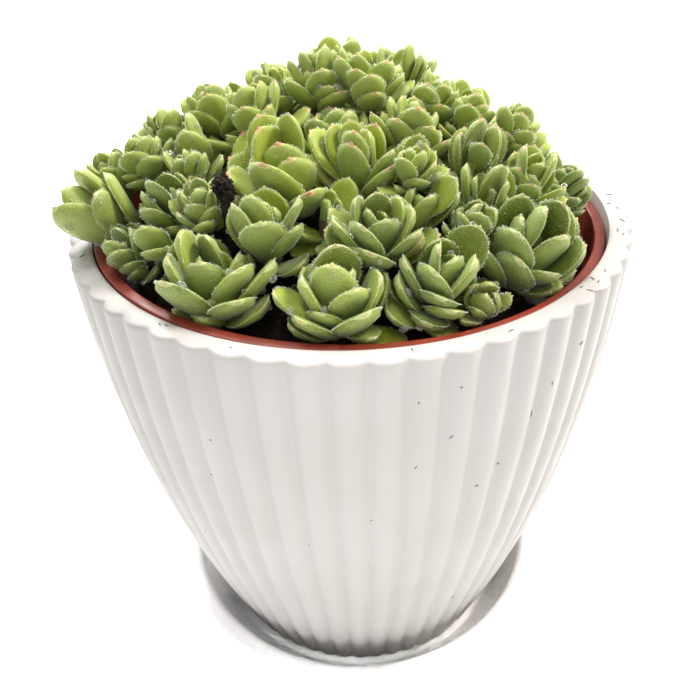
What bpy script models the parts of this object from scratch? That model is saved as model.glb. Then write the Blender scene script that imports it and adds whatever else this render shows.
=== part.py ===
"""A potted rosularia: a mound of rosettes in a red nursery pot, inside a fluted white planter on its saucer.

Millimetres in the constants and the formulas, metres in the meshes. +Z is up, and the origin is the middle
of the flat face that the saucer stands on.
"""

import math
import random
from collections import namedtuple

import bmesh
import bpy
from mathutils import Matrix, Vector
from mathutils.bvhtree import BVHTree

MM = 0.001
GAP = 0.3

# Saucer
SAUCER_REACH = 63.5
SAUCER_FOOT = 50.0
SAUCER_FLOOR = 3.0
SAUCER_FLOOR_REACH = 49.5
SAUCER_LIP_INSIDE = 57.5
SAUCER_TOP = 19.4
TURNED_STEPS = 36

# Planter
RIM_TOP = 141.0
RIM_CREST = 69.7
MOUTH = 64.7
MOUTH_CHAMFER = 0.5
PLANTER_FOOT = SAUCER_FLOOR + GAP
FOOT_CREST = 47.4
WALL_BULGE = 23.2
WALL_SKEW = 0.7
FLUTES = 57
POINTS_PER_FLUTE = 3
FLUTE_DEPTH = 1.6
FLUTE_TURN = -91.27
PLANTER_WALL = 3.8
PLANTER_FLOOR = 4.5
DRAIN = 6.0

# Nursery pot, measured down from the top of its lip
POT_LIP = 139.4
POT_LIP_REACH = 63.9
POT_LIP_INSIDE = 61.3
POT_LIP_THICK = 1.6
POT_COLLAR = 8.0
POT_STEP = 1.5
POT_WALL = 1.4
POT_HEIGHT = 130.4
POT_FOOT = 39.5
POT_TILT = 1.25
POT_TILT_TOWARDS = 20.0
POT_DRAIN = 4.0
POT_DRAIN_RING = 24.0

# Soil, measured down from the top of the nursery pot's lip
SOIL_EDGE = 12.0
SOIL_CROWN = -8.0
SOIL_STEPS = 36

# Rosettes: lengths are shares of a head's reach, and angles are in degrees
GOLDEN_ANGLE = 137.508
TURN_PLAY = 11.0
OPENING = 0.72
HEART = 0.40
LEAVES_OF_LARGE_HEAD = 12
CORE_BELOW = 0.04
CORE_ABOVE = 0.45
CORE_LOW_RADIUS = 0.17
CORE_TOP_RADIUS = 0.08
CORE_SIDES = 4
INNERMOST = 0.84
LOW_ELEVATION = 22.0
ELEVATION_GAIN = 52.0
LOW_TIP = 38.0
TIP_GAIN = 54.0
TIP_POWER = 0.9
ANGLE_PLAY = 8.0
LOW_LENGTH = 0.86
LENGTH_LOSS = 0.60
ROOT_DROP = 0.22
ROOT_TOP = 0.28
ROOT_OUT = 0.06

# Leaves: widths and thicknesses are shares of a leaf's length
LOW_HALF_WIDTH = 0.36
WIDTH_GAIN = 0.06
LEAF_THICK = 0.075
THINNEST = 0.75
WIDEST = 0.66
CUP = 0.2

# Room for each leaf, in millimetres and degrees
CELL_SHARE = 0.8
CELL_GIVE = 5.5
LEAF_MARGIN = 0.3
LEAF_CLEARANCE = 0.8
POT_DROP = 2.0
SOIL_CLEARANCE = 2.6
SHRINKS = (1.0, 0.9, 0.8, 0.7, 0.6, 0.5)
LIFT_STEP = 4.0
MOST_LIFT = 36.0
STEEPEST = 80.0

# Stems
STEM_IN_SOIL = 5.0
STEM_RING = 54.0
STEM_SIDES = 4
STEM_SHARE = 0.14
THINNEST_STEM = 1.3
THICKEST_STEM = 1.9
HOLE_PLAY = 0.5

# Across (mm), height of the opening above the planter's rim, reach of the leaves, lean (degrees), leaves
Head = namedtuple("Head", "x y height reach lean leaves")
HEADS = (
    Head(-29.1, -44.0, 10.8, 17.8, 6, 14),
    Head(-2.6, -53.0, 10.7, 16.5, 12, 13),
    Head(19.0, -49.5, 11.1, 15.8, 22, 12),
    Head(40.5, -38.0, 11.8, 19.0, 24, 13),
    Head(26.8, -51.0, 3.6, 7.0, 10, 8),
    Head(-18.1, -37.0, 17.4, 15.4, 9, 9),
    Head(5.6, -42.0, 16.3, 14.2, 20, 9),
    Head(-40.4, -23.0, 16.2, 13.0, 14, 9),
    Head(-62.5, -21.0, 12.0, 18.5, 42, 11),
    Head(-15.1, -22.0, 24.7, 19.1, 17, 14),
    Head(2.9, -19.0, 23.6, 15.8, 13, 12),
    Head(-7.2, 13.0, 32.6, 13.3, 10, 9),
    Head(6.2, 10.0, 33.4, 13.3, 10, 9),
    Head(15.6, 18.0, 31.4, 12.3, 12, 9),
    Head(22.4, 6.0, 28.2, 11.1, 12, 9),
    Head(17.2, -8.0, 25.6, 13.5, 12, 9),
    Head(14.1, -26.0, 22.6, 9.2, 14, 8),
    Head(15.0, -33.5, 18.4, 13.5, 18, 9),
    Head(30.9, -17.0, 21.4, 14.7, 16, 9),
    Head(30.5, 0.0, 24.9, 10.5, 14, 8),
    Head(41.7, -3.0, 22.8, 10.5, 18, 8),
    Head(32.4, -27.0, 14.8, 13.5, 20, 9),
    Head(-37.0, -5.0, 22.7, 13.5, 14, 9),
    Head(-46.4, 5.0, 22.3, 11.1, 16, 8),
    Head(-50.6, -8.0, 19.9, 10.5, 18, 8),
    Head(-58.5, -7.0, 15.8, 10.5, 26, 8),
    Head(-34.6, 8.5, 26.2, 11.7, 16, 9),
    Head(-24.1, 0.0, 28.4, 13.3, 16, 9),
    Head(-17.8, 16.0, 30.7, 12.3, 14, 9),
    Head(-38.4, -14.0, 18.6, 9.2, 16, 8),
    Head(-43.0, -31.5, 12.2, 13.0, 18, 9),
    Head(-51.0, -31.0, 7.0, 11.1, 22, 8),
    Head(-32.3, -30.0, 16.6, 9.9, 14, 8),
    Head(43.0, -18.0, 16.0, 12.5, 20, 8),
    Head(52.5, -8.0, 9.6, 11.7, 22, 7),
    Head(49.5, 10.0, 10.4, 14.7, 18, 7),
    Head(32.0, 15.0, 23.0, 14.2, 14, 7),
    Head(40.5, 31.0, 8.4, 14.9, 20, 7),
    Head(27.0, 31.0, 19.0, 15.4, 16, 7),
    Head(21.0, 49.0, 8.0, 14.9, 21, 7),
    Head(10.5, 30.0, 27.0, 14.7, 12, 7),
    Head(0.0, 47.0, 11.5, 15.4, 20, 7),
    Head(-3.2, 25.0, 32.6, 14.2, 9, 7),
    Head(-20.5, 48.0, 8.0, 14.9, 21, 7),
    Head(-17.5, 31.0, 24.5, 14.7, 15, 7),
    Head(-32.0, 24.0, 20.5, 14.7, 15, 7),
    Head(-37.5, 38.5, 8.0, 16.1, 21, 7),
    Head(-50.0, 20.0, 10.5, 15.4, 20, 7),
    Head(-3.5, -2.5, 25.2, 15.4, 4, 9),
    Head(-5.0, -31.5, 17.5, 13.0, 10, 9),
    Head(26.5, -36.0, 13.0, 9.9, 18, 9),
)
SCRAP = Head(-26.0, -31.5, 18.6, 3.6, 16, 0)
SCRAP_SIZE = (2.2, 1.9, 3.9)
SCRAP_LUMPS = (0.8, 1.15)

Leaf = namedtuple("Leaf", "root outward axis side elevation curl length width thick")


# Outlines

def planter_crest(z):
    """Radius of the crests of the planter's flutes at height z."""
    t = (z - PLANTER_FOOT) / (RIM_TOP - PLANTER_FOOT)
    straight = FOOT_CREST + (RIM_CREST - FOOT_CREST) * t
    return straight + t * (1 - t) * (WALL_BULGE + WALL_SKEW * (2 * t - 1))


def planter_inside(z):
    """Radius of the planter's plain inner wall at height z."""
    return min(MOUTH, planter_crest(z) - FLUTE_DEPTH - PLANTER_WALL)


def pot_inside(depth):
    """Inner radius of the nursery pot below its collar, at a depth under its lip."""
    t = (depth - POT_COLLAR) / (POT_HEIGHT - POT_COLLAR)
    top = POT_LIP_INSIDE - POT_STEP
    return top + (POT_FOOT - POT_WALL - top) * t


def soil_depth(radius):
    """Depth of the soil's surface under the nursery pot's lip."""
    edge = pot_inside(SOIL_EDGE) - GAP
    return SOIL_CROWN + (SOIL_EDGE - SOIL_CROWN) * (radius / edge) ** 2


def soil_height(x, y):
    """Height of the soil's surface, which leans with the nursery pot."""
    way = math.radians(POT_TILT_TOWARDS)
    downhill = x * math.cos(way) + y * math.sin(way)
    return POT_LIP - soil_depth(math.hypot(x, y)) - downhill * math.tan(math.radians(POT_TILT))


def pot_tilt():
    """The nursery pot stands askew: it turns about the middle of its lip."""
    way = math.radians(POT_TILT_TOWARDS)
    hinge = Vector((-math.sin(way), math.cos(way), 0))
    middle = Matrix.Translation((0, 0, POT_LIP * MM))
    return middle @ Matrix.Rotation(math.radians(POT_TILT), 4, hinge) @ middle.inverted()


# Blender helpers

def collection(name):
    group = bpy.data.collections.new(name)
    bpy.context.scene.collection.children.link(group)
    return group


def material(name, colour, roughness):
    mat = bpy.data.materials.new(name)
    mat.use_nodes = True
    shader = mat.node_tree.nodes["Principled BSDF"]
    shader.inputs["Base Color"].default_value = (*colour, 1)
    shader.inputs["Roughness"].default_value = roughness
    return mat


def new_object(name, mesh, group, mat=None):
    obj = bpy.data.objects.new(name, mesh)
    group.objects.link(obj)
    if mat:
        mesh.materials.append(mat)
    return obj


def turned(name, profile, steps, group, mat=None):
    """A closed body of revolution from (radius, height) pairs, from the top's middle to the bottom's."""
    mesh = bpy.data.meshes.new(name)
    points = [(radius * MM, 0, height * MM) for radius, height in profile]
    mesh.from_pydata(points, [(i, i + 1) for i in range(len(points) - 1)], [])
    obj = new_object(name, mesh, group, mat)
    screw = obj.modifiers.new("turn", "SCREW")
    screw.steps = steps
    screw.render_steps = steps
    screw.use_merge_vertices = True
    screw.merge_threshold = 0.0001
    screw.use_smooth_shade = False
    return obj


def applied(obj):
    """Replaces an object's mesh by the mesh that its modifiers make."""
    mesh = bpy.data.meshes.new_from_object(obj.evaluated_get(bpy.context.evaluated_depsgraph_get()))
    obj.modifiers.clear()
    obj.data = mesh
    return obj


def cutter(obj):
    obj.hide_render = True
    obj.display_type = "WIRE"
    return obj


def cut(obj, tool):
    boolean = obj.modifiers.new("cut", "BOOLEAN")
    boolean.operation = "DIFFERENCE"
    boolean.solver = "EXACT"
    boolean.object = tool


def rod_shape(low, high, radius, sides, top_radius=None):
    """A cylinder or cone between two points in millimetres."""
    bm = bmesh.new()
    reach = high - low
    turn = Vector((0, 0, 1)).rotation_difference(reach).to_matrix().to_4x4()
    bmesh.ops.create_cone(
        bm, cap_ends=True, segments=sides, radius1=radius,
        radius2=radius if top_radius is None else top_radius,
        depth=reach.length, matrix=Matrix.Translation((low + high) / 2) @ turn,
    )
    return bm


def shape_mesh(name, bm):
    """A mesh in metres from a shape in millimetres."""
    mesh = bpy.data.meshes.new(name)
    bm.to_mesh(mesh)
    bm.free()
    mesh.transform(Matrix.Scale(MM, 4))
    return mesh


def rod(name, low, high, radius, sides, group, top_radius=None):
    return new_object(name, shape_mesh(name, rod_shape(low, high, radius, sides, top_radius)), group)


# Saucer, planter, nursery pot and soil

def build_saucer(group):
    lip_middle = (SAUCER_LIP_INSIDE + SAUCER_REACH) / 2
    profile = (
        (0, SAUCER_FLOOR),
        (SAUCER_FLOOR_REACH, SAUCER_FLOOR),
        (SAUCER_LIP_INSIDE - 1.2, SAUCER_TOP - 4.6),
        (SAUCER_LIP_INSIDE, SAUCER_TOP - 1.2),
        (lip_middle - 1.0, SAUCER_TOP),
        (lip_middle + 1.6, SAUCER_TOP - 0.6),
        (SAUCER_REACH, SAUCER_TOP - 2.8),
        (SAUCER_REACH - 0.7, SAUCER_TOP - 4.8),
        (SAUCER_REACH - 3.2, SAUCER_TOP - 5.6),
        (SAUCER_FOOT + 1.6, 1.2),
        (SAUCER_FOOT, 0),
        (0, 0),
    )
    white = material("saucer_white", (0.86, 0.86, 0.85), 0.35)
    turned("saucer", profile, TURNED_STEPS, group, white)


def flute(mesh):
    """Pulls one point in POINTS_PER_FLUTE in to the valley between two flutes."""
    for vertex in mesh.vertices:
        radius = math.hypot(vertex.co.x, vertex.co.y) / MM
        if radius < 1:
            continue
        step = round((math.degrees(math.atan2(vertex.co.y, vertex.co.x))) / 360 * FLUTES * POINTS_PER_FLUTE)
        if step % POINTS_PER_FLUTE == 0:
            pull = 1 - FLUTE_DEPTH * (radius / RIM_CREST) / radius
            vertex.co.x *= pull
            vertex.co.y *= pull


def build_planter(group, cutters):
    heights = (139.7, 95.0, 50.0, 5.6)
    wall = [(planter_crest(z), z) for z in heights]
    profile = [(0, RIM_TOP), (RIM_CREST - 1.0, RIM_TOP)] + wall
    profile += [(FOOT_CREST - 1.6, PLANTER_FOOT), (0, PLANTER_FOOT)]
    white = material("planter_white", (0.84, 0.83, 0.81), 0.6)
    planter = turned("planter", profile, FLUTES * POINTS_PER_FLUTE, group, white)
    applied(planter)
    flute(planter.data)
    planter.data.transform(Matrix.Rotation(math.radians(FLUTE_TURN + 180 / FLUTES), 4, "Z"))

    floor = PLANTER_FOOT + PLANTER_FLOOR
    above = 2.5
    inside = [(0, RIM_TOP + above), (MOUTH + MOUTH_CHAMFER + above, RIM_TOP + above)]
    inside += [(MOUTH, RIM_TOP - MOUTH_CHAMFER)]
    inside += [(planter_inside(z), z) for z in (95.0, 50.0, floor + 4)]
    inside += [(planter_inside(floor) - 3, floor), (0, floor)]
    cut(planter, cutter(turned("planter_cavity", inside, TURNED_STEPS, cutters)))
    low = Vector((0, 0, PLANTER_FOOT - 1))
    high = Vector((0, 0, floor + 1))
    cut(planter, cutter(rod("planter_drain", low, high, DRAIN, 16, cutters)))


def build_nursery_pot(group, cutters):
    lip = POT_LIP
    collar_out = POT_LIP_INSIDE + POT_WALL
    profile = (
        (0, lip - POT_HEIGHT + POT_WALL),
        (POT_FOOT - POT_WALL, lip - POT_HEIGHT + POT_WALL),
        (POT_LIP_INSIDE - POT_STEP, lip - POT_COLLAR),
        (POT_LIP_INSIDE - 0.2, lip - POT_COLLAR + 1),
        (POT_LIP_INSIDE, lip),
        (POT_LIP_REACH, lip),
        (POT_LIP_REACH, lip - POT_LIP_THICK),
        (collar_out, lip - POT_LIP_THICK),
        (collar_out - 0.2, lip - POT_COLLAR),
        (collar_out - POT_STEP, lip - POT_COLLAR - 1),
        (POT_FOOT, lip - POT_HEIGHT),
        (0, lip - POT_HEIGHT),
    )
    red = material("nursery_pot_red", (0.36, 0.06, 0.03), 0.45)
    pot = turned("nursery_pot", profile, TURNED_STEPS, group, red)
    applied(pot)
    for quarter in range(4):
        way = math.radians(90 * quarter + 45)
        x = POT_DRAIN_RING * math.cos(way)
        y = POT_DRAIN_RING * math.sin(way)
        low = Vector((x, y, lip - POT_HEIGHT - 1))
        high = Vector((x, y, lip - POT_HEIGHT + POT_WALL + 1))
        hole = rod(f"pot_drain_{quarter + 1}", low, high, POT_DRAIN, 8, cutters)
        cut(pot, cutter(hole))
    applied(pot)
    pot.data.transform(pot_tilt())


def build_soil(group):
    bottom = POT_LIP - POT_HEIGHT + POT_WALL + GAP
    edge = pot_inside(SOIL_EDGE) - GAP
    top = [(radius, POT_LIP - soil_depth(radius)) for radius in (0, edge * 0.45, edge * 0.8, edge)]
    profile = top + [(POT_FOOT - POT_WALL - GAP - 0.2, bottom), (0, bottom)]
    black = material("soil_black", (0.02, 0.014, 0.01), 0.95)
    soil = turned("soil", profile, SOIL_STEPS, group, black)
    applied(soil)
    soil.data.transform(pot_tilt())
    return soil


# Where each head may grow

def head_axis(head):
    """Unit vector up the middle of a head: it leans away from the mound's middle."""
    away = math.atan2(head.y, head.x)
    lean = math.radians(head.lean)
    return Vector((math.sin(lean) * math.cos(away), math.sin(lean) * math.sin(away), math.cos(lean)))


def head_base(head):
    """The point that a head's leaves spring from."""
    opening = Vector((head.x, head.y, RIM_TOP + head.height))
    return opening - head_axis(head) * OPENING * head.reach


def head_middle(head):
    return head_base(head) + head_axis(head) * HEART * head.reach


def head_drop(head):
    """How far under its base a head's lowest leaves spring: less where the soil is near."""
    base = head_base(head)
    room = (base.z - soil_height(base.x, base.y) - SOIL_CLEARANCE) / head_axis(head).z
    return max(0.0, min(ROOT_DROP * head.reach, room))


def cell(head, others):
    """The walls, as (normal, offset), that part a head's room from that of each head near it."""
    middle = head_middle(head)
    walls = []
    for other in others:
        apart = head_middle(other) - middle
        distance = apart.length
        if other is head or distance > 2.5 * (head.reach + other.reach):
            continue
        normal = apart / distance
        share = CELL_SHARE ** 2 * (head.reach ** 2 - other.reach ** 2)
        offset = (distance ** 2 + share) / (2 * distance) + CELL_GIVE
        walls.append((normal, normal.dot(middle) + offset))
    return walls


def in_the_open(point):
    """Whether a point is clear of the soil, the nursery pot and the planter's rim."""
    radius = math.hypot(point.x, point.y)
    if point.z < soil_height(point.x, point.y) + LEAF_CLEARANCE:
        return False
    if point.z > RIM_TOP + LEAF_CLEARANCE:
        return True
    if point.z > POT_LIP - POT_COLLAR + POT_DROP:
        return radius < POT_LIP_INSIDE - LEAF_CLEARANCE
    return radius < POT_LIP_INSIDE - POT_STEP - POT_DROP


# Leaves

def leaf_breadth(t):
    """How broad a leaf is from its root at 0 to its tip at 1: broadest at WIDEST, with a soft point."""
    if t <= WIDEST:
        swell = 0.42 + 0.58 * math.sin(math.pi / 2 * t / WIDEST) ** 1.5
        return swell * min(1, math.sqrt(t / 0.12))
    x = (t - WIDEST) / (1 - WIDEST)
    return max(0.0, 1 - x ** 2.4) ** 0.8


def leaf_point(leaf, t, angle):
    """A point of a leaf's skin: t runs from root to tip, and angle goes round its section."""
    rise = leaf.elevation + leaf.curl * t
    along = leaf.length * (math.sin(rise) - math.sin(leaf.elevation)) / leaf.curl
    up = leaf.length * (math.cos(leaf.elevation) - math.cos(rise)) / leaf.curl
    upper = leaf.axis * math.cos(rise) - leaf.outward * math.sin(rise)
    breadth = leaf_breadth(t)
    cosine = math.cos(angle)
    sine = math.sin(angle)
    thick = leaf.thick * min(1, breadth * 1.6) * sine * (0.6 if sine > 0 else 1.2)
    cup = CUP * leaf.width * breadth * cosine * cosine
    spine = leaf.root + leaf.outward * along + leaf.axis * up
    return spine + leaf.side * (leaf.width * breadth * cosine) + upper * (cup + thick)


def leaf_template(sections):
    """A three-sided sphere as places on a leaf: its poles are root and tip, and one side is the keel."""
    bm = bmesh.new()
    bmesh.ops.create_uvsphere(bm, u_segments=3, v_segments=sections, radius=1)
    bmesh.ops.triangulate(bm, faces=bm.faces)
    places = []
    for vertex in bm.verts:
        t = math.sqrt((1 + vertex.co.z) / 2)
        places.append((t, math.atan2(vertex.co.y, vertex.co.x) + math.radians(30)))
    faces = [[vertex.index for vertex in face.verts] for face in bm.faces]
    bm.free()
    return places, faces


def both(one, other):
    """Two leaf templates as one."""
    count = len(one[0])
    return one[0] + other[0], one[1] + [[count + corner for corner in face] for face in other[1]]


SMALL_LEAF = leaf_template(2)
LARGE_LEAF = leaf_template(3)
TOUCH = both(SMALL_LEAF, LARGE_LEAF)


def scrap_shape(size):
    """A crumbled dried scrap, in millimetres."""
    draw = random.Random(7)
    bm = bmesh.new()
    bmesh.ops.create_uvsphere(bm, u_segments=7, v_segments=5, radius=size)
    turn = Vector((0, 0, 1)).rotation_difference(head_axis(SCRAP))
    for vertex in bm.verts:
        lump = draw.uniform(*SCRAP_LUMPS)
        place = Vector([side * lump * along for side, along in zip(SCRAP_SIZE, vertex.co)])
        vertex.co = head_middle(SCRAP) + turn @ place
    bmesh.ops.triangulate(bm, faces=bm.faces)
    return bm


def grown(leaf, margin):
    """The same leaf with a margin all round."""
    return leaf._replace(
        root=leaf.root - leaf.axis * 0.2 * margin, length=leaf.length + margin,
        width=leaf.width + margin, thick=leaf.thick + margin,
    )


def inside_walls(leaf, walls):
    for t in (0.3, 0.5, 0.7, 0.87, 1.0):
        for quarter in range(4):
            point = leaf_point(leaf, t, math.pi / 2 * quarter)
            if not in_the_open(point):
                return False
            for normal, offset in walls:
                if normal.dot(point) > offset:
                    return False
    return True


def wished_leaves(head, number):
    """A head's leaves in a spiral, from the lowest to the innermost, as they'd grow with room all round."""
    draw = random.Random(1000 + number)
    axis = head_axis(head)
    base = head_base(head)
    drop = head_drop(head)
    first = axis.orthogonal().normalized()
    second = axis.cross(first)
    start = draw.uniform(0, 360)
    leaves = []
    for i in range(head.leaves):
        s = INNERMOST * i / (head.leaves - 1)
        turn = math.radians(start + GOLDEN_ANGLE * i + draw.uniform(-TURN_PLAY, TURN_PLAY))
        outward = first * math.cos(turn) + second * math.sin(turn)
        elevation = LOW_ELEVATION + ELEVATION_GAIN * s + draw.uniform(-ANGLE_PLAY, ANGLE_PLAY)
        curl = LOW_TIP + TIP_GAIN * s ** TIP_POWER - elevation + draw.uniform(-ANGLE_PLAY, ANGLE_PLAY)
        length = head.reach * LOW_LENGTH * (1 - LENGTH_LOSS * s ** 3) * draw.uniform(0.90, 1.10)
        width = (LOW_HALF_WIDTH + WIDTH_GAIN * s) * length * draw.uniform(0.93, 1.07)
        rise = -drop + (drop + ROOT_TOP * head.reach) * s
        root = base + axis * rise + outward * ROOT_OUT * head.reach
        leaf = Leaf(
            root, outward, axis, axis.cross(outward), math.radians(elevation), math.radians(curl),
            length, width, max(THINNEST, LEAF_THICK * length),
        )
        leaves.append((s, leaf))
    return leaves


def settled(leaf, walls, near):
    """The leaf, bent up or shortened until it stays in its own room and touches no neighbour."""
    places, faces = TOUCH
    for shrink in SHRINKS:
        lift = 0.0
        while lift <= MOST_LIFT and leaf.elevation + math.radians(lift) < math.radians(STEEPEST):
            tried = leaf._replace(
                elevation=leaf.elevation + math.radians(lift),
                length=leaf.length * shrink, width=leaf.width * shrink,
            )
            lift += LIFT_STEP
            if not inside_walls(tried, walls):
                continue
            bigger = grown(tried, LEAF_MARGIN)
            skin = BVHTree.FromPolygons([leaf_point(bigger, t, angle) for t, angle in places], faces)
            if not any(skin.overlap(tree) for tree in near):
                return tried
    return None


def all_leaves():
    """Every head's leaves, the lowest of all heads first. A leaf without room is None."""
    heads = HEADS + (SCRAP,)
    places, faces = TOUCH
    walls = [cell(head, heads) for head in heads]
    skins = []
    for head in heads:
        points = []
        polygons = []
        for shape in (stem_shape(head), scrap_shape(1.15) if head is SCRAP else core_shape(head)):
            first = len(points)
            points += [vertex.co.copy() for vertex in shape.verts]
            polygons += [[first + vertex.index for vertex in face.verts] for face in shape.faces]
            shape.free()
        skins.append((points, polygons))
    trees = [BVHTree.FromPolygons(points, polygons) for points, polygons in skins]
    middles = [head_middle(head) for head in heads]
    wishes = []
    for number, head in enumerate(HEADS, start=1):
        for i, (s, leaf) in enumerate(wished_leaves(head, number)):
            wishes.append((s, number, i, leaf))
    wishes.sort(key=lambda wish: wish[:3])
    leaves = [[None] * head.leaves for head in HEADS]
    for s, number, i, leaf in wishes:
        own = number - 1
        near = []
        for other, tree in enumerate(trees):
            apart = (middles[other] - middles[own]).length
            if other != own and apart < 1.4 * (heads[other].reach + heads[own].reach) + 6:
                near.append(tree)
        found = settled(leaf, walls[own], near)
        if not found:
            continue
        leaves[own][i] = found
        points, polygons = skins[own]
        first = len(points)
        points += [leaf_point(found, t, angle) for t, angle in places]
        polygons += [[first + corner for corner in face] for face in faces]
        trees[own] = BVHTree.FromPolygons(points, polygons)
    return leaves


def build_leaf(name, leaf, template, group):
    places, faces = template
    mesh = bpy.data.meshes.new(name)
    mesh.from_pydata([leaf_point(leaf, t, angle) * MM for t, angle in places], [], faces)
    return new_object(name, mesh, group)


def stem_of(head):
    """Foot, top and radius of the stem that carries a head: near the pot's wall it leans outwards."""
    top = head_base(head) + head_axis(head) * 0.1 * head.reach
    inwards = min(1, STEM_RING / math.hypot(top.x, top.y))
    ground = Vector((top.x * inwards, top.y * inwards, 0))
    ground.z = soil_height(ground.x, ground.y)
    foot = ground + (ground - top).normalized() * STEM_IN_SOIL
    return foot, top, min(THICKEST_STEM, max(THINNEST_STEM, STEM_SHARE * head.reach))


def stem_shape(head):
    foot, top, radius = stem_of(head)
    return rod_shape(foot, top, radius, STEM_SIDES)


def core_shape(head):
    """The closed heart that a head's leaves spring from."""
    axis = head_axis(head)
    low = head_base(head) - axis * (head_drop(head) + CORE_BELOW * head.reach)
    high = head_base(head) + axis * CORE_ABOVE * head.reach
    return rod_shape(low, high, CORE_LOW_RADIUS * head.reach, CORE_SIDES, CORE_TOP_RADIUS * head.reach)


def fuse(core, shoots):
    """One union of a core with every object of a collection, which is then removed."""
    union = core.modifiers.new("fuse", "BOOLEAN")
    union.operation = "UNION"
    union.operand_type = "COLLECTION"
    union.collection = shoots
    union.solver = "EXACT"
    applied(core)
    for obj in list(shoots.objects):
        bpy.data.objects.remove(obj)
    bpy.data.collections.remove(shoots)


def build_head(name, head, leaves, template, group, mat):
    shoots = collection(name + "_shoots")
    new_object(name + "_stem", shape_mesh(name + "_stem", stem_shape(head)), shoots)
    for i, leaf in enumerate(leaves):
        if leaf:
            build_leaf(f"{name}_leaf_{i + 1}", leaf, template, shoots)
    core = new_object(name, shape_mesh(name, core_shape(head)), group, mat)
    fuse(core, shoots)


def build_scrap(group):
    shoots = collection("scrap_shoots")
    new_object("scrap_stalk", shape_mesh("scrap_stalk", stem_shape(SCRAP)), shoots)
    black = material("scrap_black", (0.015, 0.01, 0.01), 0.9)
    fuse(new_object("dried_scrap", shape_mesh("dried_scrap", scrap_shape(1)), group, black), shoots)


def cut_holes(soil, cutters):
    """A plain hole in the soil for each stem, cut in one Boolean."""
    holes = collection("holes")
    for number, head in enumerate(HEADS + (SCRAP,), start=1):
        foot, top, radius = stem_of(head)
        way = (top - foot).normalized()
        low = foot - way * 2 * GAP
        high = foot + way * (STEM_IN_SOIL + 3)
        rod(f"hole_{number:02d}", low, high, radius + HOLE_PLAY, STEM_SIDES, holes)
    boolean = soil.modifiers.new("holes", "BOOLEAN")
    boolean.operation = "DIFFERENCE"
    boolean.operand_type = "COLLECTION"
    boolean.collection = holes
    boolean.solver = "EXACT"
    applied(soil)
    for obj in list(holes.objects):
        bpy.data.objects.remove(obj)
    bpy.data.collections.remove(holes)


def main():
    for obj in list(bpy.data.objects):
        bpy.data.objects.remove(obj)
    group = collection("potted_rosularia")
    cutters = collection("cutters")
    build_saucer(group)
    build_planter(group, cutters)
    build_nursery_pot(group, cutters)
    soil = build_soil(group)
    cut_holes(soil, cutters)
    green = material("leaf_green", (0.16, 0.27, 0.06), 0.5)
    leaves = all_leaves()
    for number, head in enumerate(HEADS, start=1):
        template = LARGE_LEAF if head.leaves >= LEAVES_OF_LARGE_HEAD else SMALL_LEAF
        build_head(f"rosette_{number:02d}", head, leaves[number - 1], template, group, green)
    build_scrap(group)


main()
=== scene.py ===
"""The looks of a potted rosularia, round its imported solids. Formulas in millimetres, meshes in metres."""

import math
import random
from collections import namedtuple

import bmesh
import bpy
import numpy as np
from mathutils import Matrix, Vector
from mathutils.bvhtree import BVHTree


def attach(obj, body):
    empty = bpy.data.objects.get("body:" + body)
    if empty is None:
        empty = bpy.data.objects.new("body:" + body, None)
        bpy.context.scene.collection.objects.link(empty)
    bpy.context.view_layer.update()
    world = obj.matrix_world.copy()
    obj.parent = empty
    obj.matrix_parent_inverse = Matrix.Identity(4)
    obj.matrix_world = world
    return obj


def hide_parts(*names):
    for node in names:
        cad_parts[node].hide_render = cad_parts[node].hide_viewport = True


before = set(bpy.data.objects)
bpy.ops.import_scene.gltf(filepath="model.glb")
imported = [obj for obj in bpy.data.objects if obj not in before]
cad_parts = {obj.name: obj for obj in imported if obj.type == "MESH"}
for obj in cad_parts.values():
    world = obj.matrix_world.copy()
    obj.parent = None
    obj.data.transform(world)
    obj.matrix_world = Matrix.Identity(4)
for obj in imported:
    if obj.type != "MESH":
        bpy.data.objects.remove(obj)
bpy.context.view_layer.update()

MM = 0.001
GAP = 0.3

# Saucer
SAUCER_REACH = 63.5
SAUCER_FOOT = 50.0
SAUCER_FLOOR = 3.0
SAUCER_FLOOR_REACH = 49.5
SAUCER_LIP_INSIDE = 57.5
SAUCER_TOP = 19.4

# Planter
RIM_TOP = 141.0
RIM_CREST = 69.7
MOUTH = 64.7
MOUTH_CHAMFER = 0.5
PLANTER_FOOT = SAUCER_FLOOR + GAP
FOOT_CREST = 47.4
WALL_BULGE = 23.2
WALL_SKEW = 0.7
FLUTES = 57
FLUTE_DEPTH = 1.6
FLUTE_TURN = -91.27
PLANTER_WALL = 3.8
PLANTER_FLOOR = 4.5
DRAIN = 6.0

# Nursery pot, measured down from the top of its lip
POT_LIP = 139.4
POT_LIP_REACH = 63.9
POT_LIP_INSIDE = 61.3
POT_LIP_THICK = 1.6
POT_COLLAR = 8.0
POT_STEP = 1.5
POT_WALL = 1.4
POT_HEIGHT = 130.4
POT_FOOT = 39.5
POT_TILT = 1.25
POT_TILT_TOWARDS = 20.0
POT_DRAIN = 4.0
POT_DRAIN_RING = 24.0

# Soil, measured down from the top of the nursery pot's lip
SOIL_EDGE = 12.0
SOIL_CROWN = -8.0

# Rosettes: lengths are shares of a head's reach, and angles are in degrees
GOLDEN_ANGLE = 137.508
TURN_PLAY = 11.0
OPENING = 0.72
HEART = 0.40
CORE_BELOW = 0.04
CORE_ABOVE = 0.45
CORE_LOW_RADIUS = 0.17
CORE_TOP_RADIUS = 0.08
CORE_SIDES = 4
ANGLE_PLAY = 8.0
ROOT_DROP = 0.22
ROOT_TOP = 0.28
ROOT_OUT = 0.06

# Leaves: widths and thicknesses are shares of a leaf's length
FINE_HALF_WIDTH = 0.285
LEAF_THICK = 0.075
THINNEST = 0.75
WIDEST = 0.66

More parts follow.
